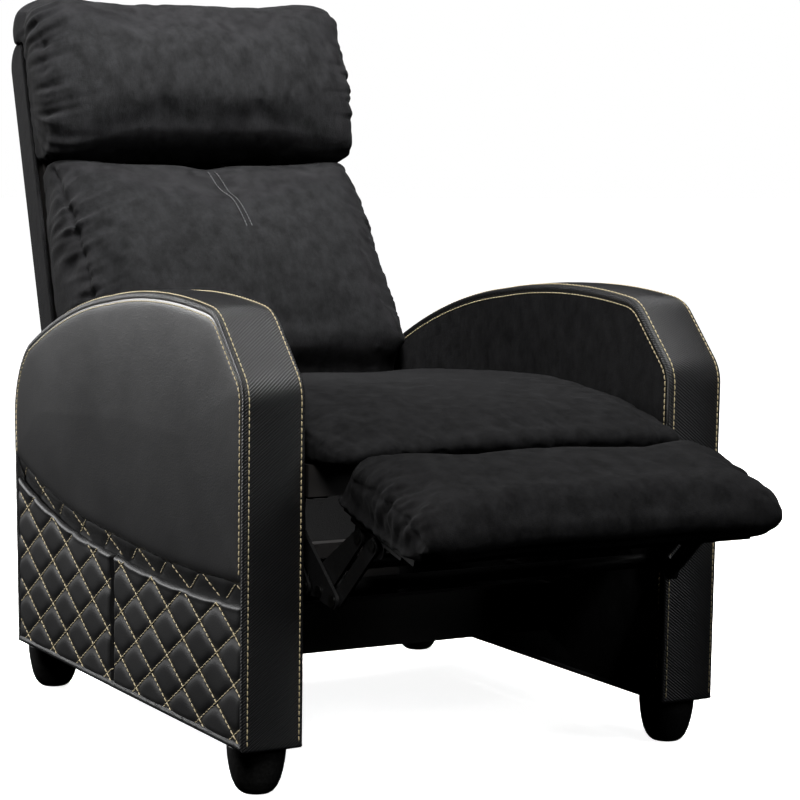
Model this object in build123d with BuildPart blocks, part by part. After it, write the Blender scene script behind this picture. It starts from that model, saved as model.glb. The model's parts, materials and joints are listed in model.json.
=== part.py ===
from build123d import *
from math import atan2, cos, degrees, hypot, radians, sin
import os

os.makedirs("parts", exist_ok=True)

# A push back recliner that stands on the floor at Z 0 and faces -Y.
# Depths are measured back from the fronts of the arms, heights up from the floor.
# The photograph's pose is the rest pose: footrest out, backrest upright on its stop.
# Left and right are those of the person who sits in the chair, so left is +X.

# Whole chair
overall_width = 680
arm_depth = 740
arm_height = 584
foot_height = 60
arm_thickness = 81.5
sides = ((1, "left"), (-1, "right"))
overrun = 60

# Arm layers, from the sitter outwards
inner_panel_thick = 6
core_thick = 59.5
lower_panel_thick = 6
pocket_room = 6.5
pocket_skin = 3.5
band_thick = 8
pocket_rim = 7
pocket_split = 390
pocket_split_gap = 1
hem_drop = 26
front_bend_radius = 22
arm_side_shares = ((0, 0.838), (0.108, 0.981))
arm_top_shares = ((0.284, 1.0), (0.54, 0.978))
arm_rear_shares = ((0.757, 0.92), (0.924, 0.837))
arm_heel_shares = ((0.984, 0.747), (1.0, 0.634))
arm_foot_share = 0.985
front_seam_shares = ((-0.03, 0.449), (0.145, 0.437), (0.316, 0.435))
rear_seam_shares = ((0.495, 0.447), (0.668, 0.462), (0.864, 0.507), (1.03, 0.576))

# Feet
foot_top_radius = 36
foot_bottom_radius = 22.5
foot_inset = 41
front_foot_depth = 44
rear_foot_depth = 692
foot_bolt_radius = 4
foot_bolt_in_foot = 30
foot_bolt_in_core = 36

# Steel plates: the mechanism is a stack of thin plates, counted inwards from the arm
plate = 4
play = 1
rail_level, rocker_level, seat_level, thigh_level, shin_level, bracket_level = range(6)
running = 0.05
open_play = 0.3
head_thick = 1.5
head_gap = 0.3
rocker_pin_radius = 5
link_pin_radius = 4
head_margin = 3

# Base
rail_overhang = 30
rail_below = 19
rail_above = 21
rail_corner = 10
rail_screw_radius = 3
rail_screw_head = 6
rail_screw_length = 40
rail_screw_shares = (0.35, 0.62)
stretcher_thick = 22
stretcher_high = 65
stretcher_drop = 78
front_stretcher_back = 20
rear_stretcher_depth = 678
rear_panel_thick = 10
rear_panel_low = 58
rear_panel_high = 262

# Rockers
rocker_length = 115
rocker_swing = 38
rocker_radius = 13
rocker_base_depth = 235
rocker_drop = 121
rear_rocker_forward = 155
tube_radius = 9
tube_wall = 1.5
rocker_tube_reach = 24

# Seat frame
seat_plate_front = 27
plate_below_hinge = 36
plate_above_hinge = 26
seat_plate_corner = 12
seat_flange = 34.5
hinge_depth = 690
hinge_height = 330
hinge_radius = 16
seat_rail_tall = 38
seat_rail_front = 14
seat_rail_forward = 98
seat_rail_thick = 22
seat_side_rail_thick = 32
rail_end_gap = 0.5
wire_radius = 1.8
spring_count = 5
spring_bends = 12
spring_width = 36
spring_bend_radius = 9

# Seat cushion, as depths and heights of its side section above its underside
cushion_clearance = 8.5
seat_rear_forward = 100
seat_rear_height = 27
seat_rear_top = (-22, 43.4)
seat_rear_bow = (-7, 38.4)
seat_bow_forward = 310
seat_bow_height = 60.4
seat_fall = (180, 65.4)
seat_fall_bow = (90, 54.4)
seat_brow = (-30, 23.4)
seat_nose_bow = (-52, 16.4)
seat_nose = (-57, 8.4)
seat_lip_depth = -46
seat_crown = 11
seat_front_crown = 12

# Footrest linkage
thigh_depth = 45
thigh_drop = 22
pivot_spacing = 37
thigh_length = 80
thigh_angle = 230
crank_length = 34
crank_turn = 52
link_radius = 10
footrest_depth = -38
footrest_rise = 31
footrest_pitch = 14
bracket_pivot_along = 60
bracket_pivot_below = 24
bracket_margin = 18
bracket_flange = 24
flange_front = 150
flange_rear = 30
board_thick = 12
board_side = 1.5
board_rear = 8
board_front = 176

# Footrest pad, along and out from the face of its board
pad_rear = (4, 0)
pad_rear_top = (23, 46)
pad_rear_bow = (27, 53)
pad_back = (37, 57)
pad_bow = (100, 66)
pad_fore = (160, 63)
pad_fore_bow = (192, 60)
pad_brow = (214, 49)
pad_nose = (228, 31)
pad_chin = (210, 9)
pad_chin_bow = (200, 2)
pad_under = 185
pad_crown = 8

# Backrest, along and out from its hinge
back_tilt = 17
back_low = 30
shell_top = 630
shell_rear = 124
shell_front = 66
shell_skin = 6
shell_clearance = 6.5
shell_corner = 34
post_thick = 22
post_front = 62
post_low = 20
back_rail_front = 72
back_rail_low = 34
back_rail_high = 44
back_wire_count = 4
bracket_foot = 12
bracket_reach = 86
bracket_top = 150
bracket_arm_radius = 13
back_cushion_top = 430
back_crease = (432, -42)
back_brow_bow = (425, -16)
back_brow = (404, 2)
back_upper_bow = (345, 38)
back_middle = (270, 65)
back_lower_bow = (208, 84)
back_lumbar = (152, 95)
back_chin_bow = (117, 88)
back_chin = (102, 62)
back_sole = 48
back_crown = 24
headrest_clearance = 4.5
headrest_low = 440
headrest_chin = (442, -30)
headrest_chin_bow = (449, -2)
headrest_cheek = (466, 12)
headrest_bow = (540, 25)
headrest_brow = (625, 12)
headrest_top_bow = (668, -6)
headrest_top = (682, -36)
headrest_nape_bow = (680, -80)
headrest_nape = (652, -97)
pillow_gap = 0.3
headrest_crown = 22
edge_round = 13
crown_shares = ((0, 0, 1), (0.05, 0, 0), (0.45, 0.8, 0), (1, 1, 0))

bay_half = overall_width / 2 - arm_thickness
cushion_half = bay_half - cushion_clearance
shell_half = bay_half - shell_clearance
headrest_half = bay_half - headrest_clearance
seat_plate_low = hinge_height - plate_below_hinge
seat_plate_high = hinge_height + plate_above_hinge
seat_rail_high = seat_plate_high + seat_rail_tall
seat_rail_rear = hinge_depth - seat_rail_forward
cushion_bottom = seat_rail_high + 2 * wire_radius
seat_rear_depth = hinge_depth - seat_rear_forward
rocker_base_height = hinge_height - rocker_drop
rear_rocker_depth = hinge_depth - rear_rocker_forward
rail_front = rocker_base_depth - rail_overhang
rail_rear = rear_rocker_depth + rail_overhang
rail_low = rocker_base_height - rail_below
rail_high = rocker_base_height + rail_above
stretcher_low = rail_low - stretcher_drop
thigh_height = hinge_height - thigh_drop
footrest_height = hinge_height + footrest_rise
post_rear = shell_rear - shell_skin
post_high = shell_top - shell_corner
pitch = radians(footrest_pitch)
tilt = radians(back_tilt)
pad_reach = pad_nose[0] * cos(pitch) + pad_nose[1] * sin(pitch) - footrest_depth
shell_reach = hinge_depth + (shell_top - shell_corner) * sin(tilt) + shell_rear * cos(tilt)
mid_depth = (shell_reach + shell_corner / 2 * sin(tilt) - pad_reach) / 2


def layer(level):
    """inner face of a plate, counted inwards from the arm"""
    return bay_half - plate - level * (plate + play)


def side_plane(x):
    """upright plane across the chair at x, drawn in depth and height"""
    return Plane(origin=(x, -mid_depth, 0), x_dir=(0, 1, 0), z_dir=(1, 0, 0))


def slab(side, inner, thick):
    """plane of a slab on one side, whose faces lie inner and inner + thick from the middle"""
    return side_plane(inner if side > 0 else -inner - thick)


def pad_plane(side, inner, thick):
    """the same for the footrest, drawn along and out from its board"""
    x = inner + thick if side > 0 else -inner
    along = (0, -cos(pitch), -sin(pitch))
    return Plane(origin=(x, footrest_depth - mid_depth, footrest_height), x_dir=along, z_dir=(-1, 0, 0))


def back_plane(side, inner, thick):
    """the same for the backrest, drawn along and out from its hinge"""
    x = inner if side > 0 else -inner - thick
    along = (0, sin(tilt), cos(tilt))
    return Plane(origin=(x, hinge_depth - mid_depth, hinge_height), x_dir=along, z_dir=(1, 0, 0))


def polar(start, length, angle):
    """the point at a length and an angle in degrees from another point"""
    return (start[0] + length * cos(radians(angle)), start[1] + length * sin(radians(angle)))


def shares(pair, rise=0):
    """a point of the arm given as shares of its depth and height"""
    return (pair[0] * arm_depth, pair[1] * arm_height + rise)


def save(piece, name):
    """labels a finished piece and writes its file"""
    piece.part.label = name
    export_step(piece.part, f"parts/{name}.step")


def link_face(points, radius, holes):
    """a flat link: the hull round its pivots, with a hole at each"""
    with BuildSketch() as face:
        with Locations(*points):
            Circle(radius)
        make_hull()
        for point, hole in zip(points, holes):
            with Locations(point):
                Circle(hole, mode=Mode.SUBTRACT)
    return face.sketch


# Arms

def arm_face(inset, foot_inset=0):
    """the arm's outline drawn in by an inset, with its foot kept on the arm's bottom edge"""
    bottom = foot_height - inset + foot_inset
    knee, bend = shares(arm_side_shares[0]), shares(arm_side_shares[1])
    top_end = shares(arm_top_shares[1])
    rear_end = shares(arm_rear_shares[1])
    heel_end = shares(arm_heel_shares[1])
    foot = (arm_foot_share * arm_depth, bottom)
    with BuildSketch() as face:
        with BuildLine():
            Line((0, bottom), knee)
            Line(knee, bend)
            ThreePointArc(bend, shares(arm_top_shares[0]), top_end)
            ThreePointArc(top_end, shares(arm_rear_shares[0]), rear_end)
            ThreePointArc(rear_end, shares(arm_heel_shares[0]), heel_end)
            Line(heel_end, foot)
            Line(foot, (0, bottom))
        make_face()
        for corner in (knee, bend):
            fillet(face.vertices().sort_by_distance((*corner, 0))[0], front_bend_radius)
        if inset > 0:
            offset(amount=-inset)
    return face.sketch


def above_seam(drop):
    """everything above the seam of the arm's outer side, with the seam lowered by drop"""
    points = [shares(pair, -drop) for pair in front_seam_shares + rear_seam_shares]
    top = arm_height + overrun
    with BuildSketch() as face:
        with BuildLine():
            for first in (0, 2, 4):
                ThreePointArc(points[first], points[first + 1], points[first + 2])
            Line(points[-1], (points[-1][0], top))
            Line((points[-1][0], top), (points[0][0], top))
            Line((points[0][0], top), points[0])
        make_face()
    return face.sketch


def strip(low, high):
    """a tall strip of the arm's side between two depths"""
    with BuildSketch() as face:
        with Locations(((low + high) / 2, arm_height / 2)):
            Rectangle(high - low, arm_height + overrun)
    return face.sketch


inner_x = bay_half
core_x = inner_x + inner_panel_thick
lower_x = core_x + core_thick
pocket_x = lower_x + lower_panel_thick
pocket_skin_x = pocket_x + pocket_room
outer_thick = lower_panel_thick + pocket_room + pocket_skin
foot_x = overall_width / 2 - foot_inset
feet_places = [(x, y - mid_depth) for x in (-foot_x, foot_x) for y in (front_foot_depth, rear_foot_depth)]
screw_height = (rail_low + rail_high) / 2
screw_places = [(rail_front + share * (rail_rear - rail_front), screw_height) for share in rail_screw_shares]
screw_in_core = rail_screw_length - plate - inner_panel_thick
pocket_ranges = (
    ("front_pocket", 0, pocket_split - pocket_split_gap / 2),
    ("rear_pocket", pocket_split + pocket_split_gap / 2, arm_depth),
)

for side, name in sides:
    with BuildPart() as arm_core:
        with BuildSketch(slab(side, core_x, core_thick)):
            add(arm_face(band_thick))
        extrude(amount=core_thick)
        with BuildSketch(slab(side, core_x, screw_in_core)):
            with Locations(*screw_places):
                Circle(rail_screw_radius)
        extrude(amount=screw_in_core, mode=Mode.SUBTRACT)
        with BuildSketch(Plane.XY.offset(foot_height)):
            with Locations(*feet_places):
                Circle(foot_bolt_radius)
        extrude(amount=foot_bolt_in_core, mode=Mode.SUBTRACT)
    save(arm_core, f"arm_core_{name}")

    with BuildPart() as arm_band:
        with BuildSketch(slab(side, inner_x, arm_thickness)):
            add(arm_face(0))
            add(arm_face(band_thick), mode=Mode.SUBTRACT)
        extrude(amount=arm_thickness)
    save(arm_band, f"arm_band_{name}")

    with BuildPart() as arm_inner_panel:
        with BuildSketch(slab(side, inner_x, inner_panel_thick)):
            add(arm_face(band_thick))
            with Locations(*screw_places):
                Circle(rail_screw_radius, mode=Mode.SUBTRACT)
        extrude(amount=inner_panel_thick)
    save(arm_inner_panel, f"arm_inner_panel_{name}")

    with BuildPart() as arm_outer_panel:
        with BuildSketch(slab(side, lower_x, outer_thick)):
            add(arm_face(band_thick))
            add(above_seam(0), mode=Mode.INTERSECT)
        extrude(amount=outer_thick)
    save(arm_outer_panel, f"arm_outer_panel_{name}")

    with BuildPart() as arm_lower_panel:
        with BuildSketch(slab(side, lower_x, lower_panel_thick)):
            add(arm_face(band_thick))
            add(above_seam(0), mode=Mode.SUBTRACT)
        extrude(amount=lower_panel_thick)
    save(arm_lower_panel, f"arm_lower_panel_{name}")

    for pocket_name, low, high in pocket_ranges:
        with BuildPart() as pocket:
            with BuildSketch(slab(side, pocket_x, pocket_room + pocket_skin)):
                add(arm_face(band_thick))
                add(above_seam(hem_drop), mode=Mode.SUBTRACT)
                add(strip(low, high), mode=Mode.INTERSECT)
            extrude(amount=pocket_room + pocket_skin)
            with BuildSketch(slab(side, pocket_x, pocket_room)):
                add(arm_face(band_thick + pocket_rim, pocket_rim))
                add(strip(low + pocket_rim, high - pocket_rim), mode=Mode.INTERSECT)
            extrude(amount=pocket_room, mode=Mode.SUBTRACT)
        save(pocket, f"{pocket_name}_{name}")

# Feet and their bolts
with BuildPart() as feet:
    with BuildSketch():
        with Locations(*feet_places):
            Circle(foot_bottom_radius)
    foot_taper = degrees(atan2(foot_top_radius - foot_bottom_radius, foot_height))
    extrude(amount=foot_height, taper=-foot_taper)
    with BuildSketch(Plane.XY.offset(foot_height)):
        with Locations(*feet_places):
            Circle(foot_bolt_radius)
    extrude(amount=-foot_bolt_in_foot, mode=Mode.SUBTRACT)
save(feet, "feet")

with BuildPart() as foot_bolts:
    with BuildSketch(Plane.XY.offset(foot_height - foot_bolt_in_foot)):
        with Locations(*feet_places):
            Circle(foot_bolt_radius)
    extrude(amount=foot_bolt_in_foot + foot_bolt_in_core)
save(foot_bolts, "foot_bolts")

# Base between the arms
lean = rocker_swing / 2
front_base = (rocker_base_depth, rocker_base_height)
rear_base = (rear_rocker_depth, rocker_base_height)
front_seat = polar(front_base, rocker_length, 90 + lean)
rear_seat = polar(rear_base, rocker_length, 90 + lean)

for side, name in sides:
    with BuildPart() as base_rail:
        with BuildSketch(slab(side, layer(rail_level), plate)) as rail_face:
            with Locations(((rail_front + rail_rear) / 2, (rail_low + rail_high) / 2)):
                Rectangle(rail_rear - rail_front, rail_high - rail_low)
            fillet(rail_face.vertices(), rail_corner)
            with Locations(front_base, rear_base):
                Circle(rocker_pin_radius, mode=Mode.SUBTRACT)
            with Locations(*screw_places):
                Circle(rail_screw_radius, mode=Mode.SUBTRACT)
        extrude(amount=plate)
    save(base_rail, f"base_rail_{name}")

with BuildPart() as rail_screws:
    for side, name in sides:
        with BuildSketch(slab(side, layer(rail_level), rail_screw_length)):
            with Locations(*screw_places):
                Circle(rail_screw_radius)
        extrude(amount=rail_screw_length)
        with BuildSketch(slab(side, layer(rail_level) - head_thick, head_thick)):
            with Locations(*screw_places):
                Circle(rail_screw_head)
        extrude(amount=head_thick)
save(rail_screws, "rail_screws")

for name, depth in (("front", rocker_base_depth + front_stretcher_back), ("rear", rear_stretcher_depth)):
    with BuildPart() as stretcher:
        with BuildSketch(side_plane(-bay_half)):
            with Locations((depth, stretcher_low)):
                Rectangle(stretcher_thick, stretcher_high, align=(Align.MIN, Align.MIN))
        extrude(amount=2 * bay_half)
    save(stretcher, f"{name}_stretcher")

with BuildPart() as rear_panel:
    with BuildSketch(side_plane(-bay_half)):
        with Locations((rear_stretcher_depth + stretcher_thick, rear_panel_low)):
            Rectangle(rear_panel_thick, rear_panel_high - rear_panel_low, align=(Align.MIN, Align.MIN))
    extrude(amount=2 * bay_half)
save(rear_panel, "rear_panel")


def pins(places, inner_level, outer_level, radius, head_outside):
    """pivot pins on both sides through a pair of plates, each with a head beyond one of them"""
    inner_face = layer(inner_level)
    outer_face = layer(outer_level) + plate
    start = inner_face if head_outside else inner_face - head_gap
    end = outer_face + head_gap if head_outside else outer_face
    head_start = end if head_outside else start - head_thick
    with BuildPart() as group:
        for side, name in sides:
            with BuildSketch(slab(side, start, end - start)):
                with Locations(*places):
                    Circle(radius)
            extrude(amount=end - start)
            with BuildSketch(slab(side, head_start, head_thick)):
                with Locations(*places):
                    Circle(radius + head_margin)
            extrude(amount=head_thick)
    return group


base_pivot_pins = pins((front_base, rear_base), rocker_level, rail_level, rocker_pin_radius, False)
save(base_pivot_pins, "base_pivot_pins")

# Rockers: the front pair is tied by a tube
rocker_hole = rocker_pin_radius + running
open_hole = rocker_pin_radius + open_play
rocker_kinds = (
    ("front_rocker", (front_base, front_seat), (rocker_hole, rocker_hole)),
    ("rear_rocker", (rear_base, rear_seat), (rocker_hole, open_hole)),
)
for kind, pivots, holes in rocker_kinds:
    for side, name in sides:
        with BuildPart() as rocker:
            with BuildSketch(slab(side, layer(rocker_level), plate)):
                add(link_face(pivots, rocker_radius, holes))
            extrude(amount=plate)
        save(rocker, f"{kind}_{name}")

with BuildPart() as front_rocker_tube:
    with BuildSketch(side_plane(-layer(rocker_level))):
        with Locations(polar(front_base, rocker_tube_reach, 90 + lean)):
            Circle(tube_radius)
            Circle(tube_radius - tube_wall, mode=Mode.SUBTRACT)
    extrude(amount=2 * layer(rocker_level))
save(front_rocker_tube, "front_rocker_tube")

# Seat frame
thigh_pivot = (thigh_depth, thigh_height)
control_pivot = (thigh_depth + pivot_spacing, thigh_height)
hinge = (hinge_depth, hinge_height)
seat_flange_inner = layer(seat_level) + plate - seat_flange

for side, name in sides:
    with BuildPart() as seat_plate:
        with BuildSketch(slab(side, layer(seat_level), plate)) as seat_side:
            with Locations((seat_plate_front, seat_plate_low)):
                length = seat_rail_rear - seat_plate_front
                Rectangle(length, seat_plate_high - seat_plate_low, align=(Align.MIN, Align.MIN))
            fillet(seat_side.vertices().group_by(Axis.Y)[0], seat_plate_corner)
            with Locations((seat_rail_rear - overrun, hinge_height)):
                Rectangle(hinge_depth - seat_rail_rear + overrun, 2 * hinge_radius, align=(Align.MIN, Align.CENTER))
            with Locations(hinge):
                Circle(hinge_radius)
            with Locations(front_seat, rear_seat, hinge):
                Circle(rocker_pin_radius, mode=Mode.SUBTRACT)
            with Locations(thigh_pivot, control_pivot):
                Circle(link_pin_radius, mode=Mode.SUBTRACT)
        extrude(amount=plate)
        with BuildSketch(slab(side, seat_flange_inner, seat_flange)):
            with Locations((seat_plate_front, seat_plate_high - plate)):
                Rectangle(seat_rail_rear - seat_plate_front, plate, align=(Align.MIN, Align.MIN))
        extrude(amount=seat_flange)
    save(seat_plate, f"seat_plate_{name}")

    side_rail_x = layer(seat_level) + plate - rail_end_gap - seat_side_rail_thick
    with BuildPart() as seat_side_rail:
        with BuildSketch(slab(side, side_rail_x, seat_side_rail_thick)):
            with Locations((seat_rail_front + seat_rail_thick, seat_plate_high)):
                length = seat_rail_rear - seat_rail_front - 2 * seat_rail_thick
                Rectangle(length, seat_rail_high - seat_plate_high, align=(Align.MIN, Align.MIN))
        extrude(amount=seat_side_rail_thick)
    save(seat_side_rail, f"seat_side_rail_{name}")

cross_half = layer(seat_level) + plate - rail_end_gap
for name, depth in (("front", seat_rail_front), ("rear", seat_rail_rear - seat_rail_thick)):
    with BuildPart() as seat_cross_rail:
        with BuildSketch(side_plane(-cross_half)):
            with Locations((depth, seat_plate_high)):
                Rectangle(seat_rail_thick, seat_rail_high - seat_plate_high, align=(Align.MIN, Align.MIN))
        extrude(amount=2 * cross_half)
    save(seat_cross_rail, f"seat_{name}_rail")


def wire_path(start, end, count):
    """corners of a wire that winds from side to side, given along its length and across it"""
    step = (end - start) / count
    points = [(start, 0)]
    for bend in range(count):
        swing = spring_width / 2 if bend % 2 else -spring_width / 2
        points.append((start + bend * step + spring_bend_radius, swing))
        points.append((start + (bend + 1) * step - spring_bend_radius, swing))
    points.append((end, 0))
    return points


seat_wire_height = seat_rail_high + wire_radius
seat_wire_ends = (seat_rail_front + seat_rail_thick / 2, seat_rail_rear - seat_rail_thick / 2)
with BuildPart() as seat_springs:
    for number in range(spring_count):
        x = (number - (spring_count - 1) / 2) * 2 * side_rail_x / spring_count
        flat = Plane(origin=(x, -mid_depth, seat_wire_height), x_dir=(0, 1, 0), z_dir=(0, 0, 1))
        with BuildLine(flat) as wire:
            FilletPolyline(*wire_path(*seat_wire_ends, spring_bends), radius=spring_bend_radius / 2)
        with BuildSketch(Plane(origin=wire.line @ 0, z_dir=wire.line % 0)):
            Circle(wire_radius)
        sweep(path=wire.line)
save(seat_springs, "seat_springs")

pin_groups = (
    ((front_seat, rear_seat), seat_level, rocker_level, rocker_pin_radius, True),
    ((hinge,), thigh_level, seat_level, rocker_pin_radius, True),
    ((thigh_pivot, control_pivot), thigh_level, seat_level, link_pin_radius, True),
)
with BuildPart() as seat_pivot_pins:
    for group in pin_groups:
        add(pins(*group).part)
save(seat_pivot_pins, "seat_pivot_pins")


def moved(point, out, edge_move=(0, 0)):
    """a point of a soft section, moved out by the crown and in by the rounding at the ends"""
    return (point[0] + out[0] + edge_move[0], point[1] + out[1] + edge_move[1])


def stations(half):
    """places across a soft piece, each with its share of the crown and of the end rounding"""
    ends = [(-half * (1 - share), crown, edge) for share, crown, edge in crown_shares]
    return ends + [(-x, crown, edge) for x, crown, edge in reversed(ends[:-1])]


def seat_section(crown, edge):
    """side section of the seat cushion, in depth and height above its underside"""
    rise = (0, seat_crown * crown - edge_round * edge)
    front_rise = seat_front_crown * crown - edge_round / 4 * edge
    front = (-seat_front_crown / 2 * crown + edge_round * edge, front_rise)
    back = (-edge_round * edge, 0)
    low = (seat_rear_depth - edge_round * edge, 0)
    with BuildSketch() as face:
        with BuildLine():
            rear_edge = moved((seat_rear_depth, seat_rear_height), back, (0, -edge_round / 2 * edge))
            rear_top = moved((seat_rear_depth + seat_rear_top[0], seat_rear_top[1]), rise, back)
            rear_bow = (seat_rear_depth + seat_rear_bow[0], seat_rear_bow[1])
            middle = (hinge_depth - seat_bow_forward, seat_bow_height)
            fall = moved(seat_fall, rise)
            brow = moved(seat_brow, front, (0, -edge_round / 4 * edge))
            nose = moved(seat_nose, front, (0, -seat_front_crown / 2 * crown))
            lip = (seat_lip_depth + edge_round * edge, 0)
            Line(low, rear_edge)
            ThreePointArc(rear_edge, moved(rear_bow, (0, rise[1] * 2 / 3), back), rear_top)
            ThreePointArc(rear_top, moved(middle, rise), fall)
            ThreePointArc(fall, moved(seat_fall_bow, (0, (rise[1] + front[1]) / 2)), brow)
            ThreePointArc(brow, moved(seat_nose_bow, front), nose)
            Line(nose, lip)
            Line(lip, low)
        make_face()
    return face.sketch


with BuildPart() as seat_cushion:
    for x, crown, edge in stations(cushion_half):
        with BuildSketch(side_plane(x)):
            with Locations((0, cushion_bottom)):
                add(seat_section(crown, edge))
    loft()
save(seat_cushion, "seat_cushion")

# Footrest linkage: two parallelograms in a row, so the footrest turns as far as the thigh links do
along = (-cos(pitch), -sin(pitch))
out = (-sin(pitch), cos(pitch))
ankle = (
    footrest_depth + bracket_pivot_along * along[0] - bracket_pivot_below * out[0],
    footrest_height + bracket_pivot_along * along[1] - bracket_pivot_below * out[1],
)
knee_pivot = polar(thigh_pivot, thigh_length, thigh_angle)
shin_angle = degrees(atan2(ankle[1] - knee_pivot[1], ankle[0] - knee_pivot[0]))
shin_length = hypot(ankle[0] - knee_pivot[0], ankle[1] - knee_pivot[1])
heel_pivot = (knee_pivot[0] + pivot_spacing, knee_pivot[1])
crank_pivot = polar(knee_pivot, crank_length, shin_angle + crank_turn)
toe = polar(crank_pivot, shin_length, shin_angle)
link_hole = link_pin_radius + running
link_open_hole = link_pin_radius + open_play

for side, name in sides:
    with BuildPart() as thigh_link:
        with BuildSketch(slab(side, layer(thigh_level), plate)):
            holes = (link_hole, link_pin_radius, link_pin_radius)
            add(link_face((thigh_pivot, knee_pivot, crank_pivot), link_radius, holes))
        extrude(amount=plate)
    save(thigh_link, f"thigh_link_{name}")

    with BuildPart() as shin_link:
        with BuildSketch(slab(side, layer(shin_level), plate)):
            holes = (link_pin_radius, link_hole, link_pin_radius)
            add(link_face((ankle, knee_pivot, heel_pivot), link_radius, holes))
        extrude(amount=plate)
    save(shin_link, f"shin_link_{name}")

thigh_pins = pins((knee_pivot, crank_pivot), shin_level, thigh_level, link_pin_radius, True)
save(thigh_pins, "thigh_pins")

shin_pin_groups = (
    ((ankle,), bracket_level, shin_level, link_pin_radius, True),
    ((heel_pivot,), shin_level, thigh_level, link_pin_radius, True),
)
with BuildPart() as shin_pins:
    for group in shin_pin_groups:
        add(pins(*group).part)
save(shin_pins, "shin_pins")

shin_tie = ((knee_pivot[0] + heel_pivot[0]) / 2, knee_pivot[1])
with BuildPart() as shin_tube:
    with BuildSketch(side_plane(-layer(shin_level))):
        with Locations(shin_tie):
            Circle(tube_radius)
            Circle(tube_radius - tube_wall, mode=Mode.SUBTRACT)
    extrude(amount=2 * layer(shin_level))
save(shin_tube, "shin_tube")

with BuildPart() as control_links:
    for side, name in sides:
        with BuildSketch(slab(side, layer(thigh_level), plate)):
            add(link_face((control_pivot, heel_pivot), link_radius, (link_hole, link_open_hole)))
        extrude(amount=plate)
save(control_links, "control_links")

with BuildPart() as footrest_links:
    for side, name in sides:
        with BuildSketch(slab(side, layer(shin_level), plate)):
            add(link_face((crank_pivot, toe), link_radius, (link_hole, link_open_hole)))
        extrude(amount=plate)
save(footrest_links, "footrest_links")

# Footrest
toe_along = (toe[0] - footrest_depth) * along[0] + (toe[1] - footrest_height) * along[1]
toe_out = (toe[0] - footrest_depth) * out[0] + (toe[1] - footrest_height) * out[1]
bracket_low = -bracket_pivot_below - link_radius
bracket_x = layer(bracket_level)
board_half = bracket_x + plate - board_side

for side, name in sides:
    with BuildPart() as footrest_bracket:
        with BuildSketch(pad_plane(side, bracket_x, plate)) as bracket_face:
            with Locations((bracket_pivot_along - bracket_margin, bracket_low)):
                length = toe_along - bracket_pivot_along + 2 * bracket_margin
                Rectangle(length, -board_thick - bracket_low, align=(Align.MIN, Align.MIN))
            fillet(bracket_face.vertices().group_by(Axis.Y)[0], link_radius)
            with Locations((bracket_pivot_along, -bracket_pivot_below)):
                Circle(link_hole, mode=Mode.SUBTRACT)
            with Locations((toe_along, toe_out)):
                Circle(link_pin_radius, mode=Mode.SUBTRACT)
        extrude(amount=plate)
        flange_x = bracket_x + plate - bracket_flange
        with BuildSketch(pad_plane(side, flange_x, bracket_flange)):
            with Locations((flange_rear, -board_thick - plate)):
                Rectangle(flange_front - flange_rear, plate, align=(Align.MIN, Align.MIN))
        extrude(amount=bracket_flange)
    save(footrest_bracket, f"footrest_bracket_{name}")

footrest_pins = pins((toe,), bracket_level, shin_level, link_pin_radius, True)
save(footrest_pins, "footrest_pins")

with BuildPart() as footrest_board:
    with BuildSketch(pad_plane(1, -board_half, 2 * board_half)):
        with Locations((board_rear, -board_thick)):
            Rectangle(board_front - board_rear, board_thick, align=(Align.MIN, Align.MIN))
    extrude(amount=2 * board_half)
save(footrest_board, "footrest_board")


def pad_section(crown, edge):
    """side section of the footrest pad, along and out from its board"""
    rise = (0, pad_crown * crown - edge_round * edge)
    back = (edge_round * edge, -edge_round / 2 * edge)
    front = (-edge_round * edge, -edge_round / 4 * edge)
    with BuildSketch() as face:
        with BuildLine():
            heel = (pad_rear[0] + edge_round * edge, 0)
            rear_top = moved(pad_rear_top, back)
            back_top = moved(pad_back, rise, (edge_round * edge, 0))
            fore = moved(pad_fore, rise, (-edge_round / 2 * edge, 0))
            brow = moved(pad_brow, (0, rise[1] / 2), front)
            chin = moved(pad_chin, front, (0, edge_round / 2 * edge))
            under = (pad_under - edge_round * edge, 0)
            Line(heel, rear_top)
            ThreePointArc(rear_top, moved(pad_rear_bow, back, (0, rise[1] / 2)), back_top)
            ThreePointArc(back_top, moved(pad_bow, rise), fore)
            ThreePointArc(fore, moved(pad_fore_bow, rise, (-edge_round / 2 * edge, 0)), brow)
            ThreePointArc(brow, moved(pad_nose, front), chin)
            ThreePointArc(chin, moved(pad_chin_bow, front, (0, edge_round / 3 * edge)), under)
            Line(under, heel)
        make_face()
    return face.sketch


with BuildPart() as footrest_pad:
    for x, crown, edge in stations(cushion_half):
        with BuildSketch(pad_plane(1, x, 0)):
            add(pad_section(crown, edge))
    loft()
save(footrest_pad, "footrest_pad")

# Backrest
bracket_corner = (bracket_foot, -bracket_reach)
bracket_end = (bracket_top, -bracket_reach)

with BuildPart() as hinge_brackets:
    for side, name in sides:
        with BuildSketch(back_plane(side, layer(thigh_level), plate)):
            add(link_face((bracket_corner, bracket_end), bracket_arm_radius, ()))
            add(link_face(((0, 0), bracket_corner), bracket_arm_radius, (rocker_hole,)))
        extrude(amount=plate)
save(hinge_brackets, "hinge_brackets")

post_x = layer(thigh_level) - post_thick
for side, name in sides:
    with BuildPart() as back_post:
        with BuildSketch(back_plane(side, post_x, post_thick)):
            with Locations((post_low, -post_rear)):
                Rectangle(post_high - post_low, post_rear - post_front, align=(Align.MIN, Align.MIN))
        extrude(amount=post_thick)
    save(back_post, f"back_post_{name}")

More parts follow.
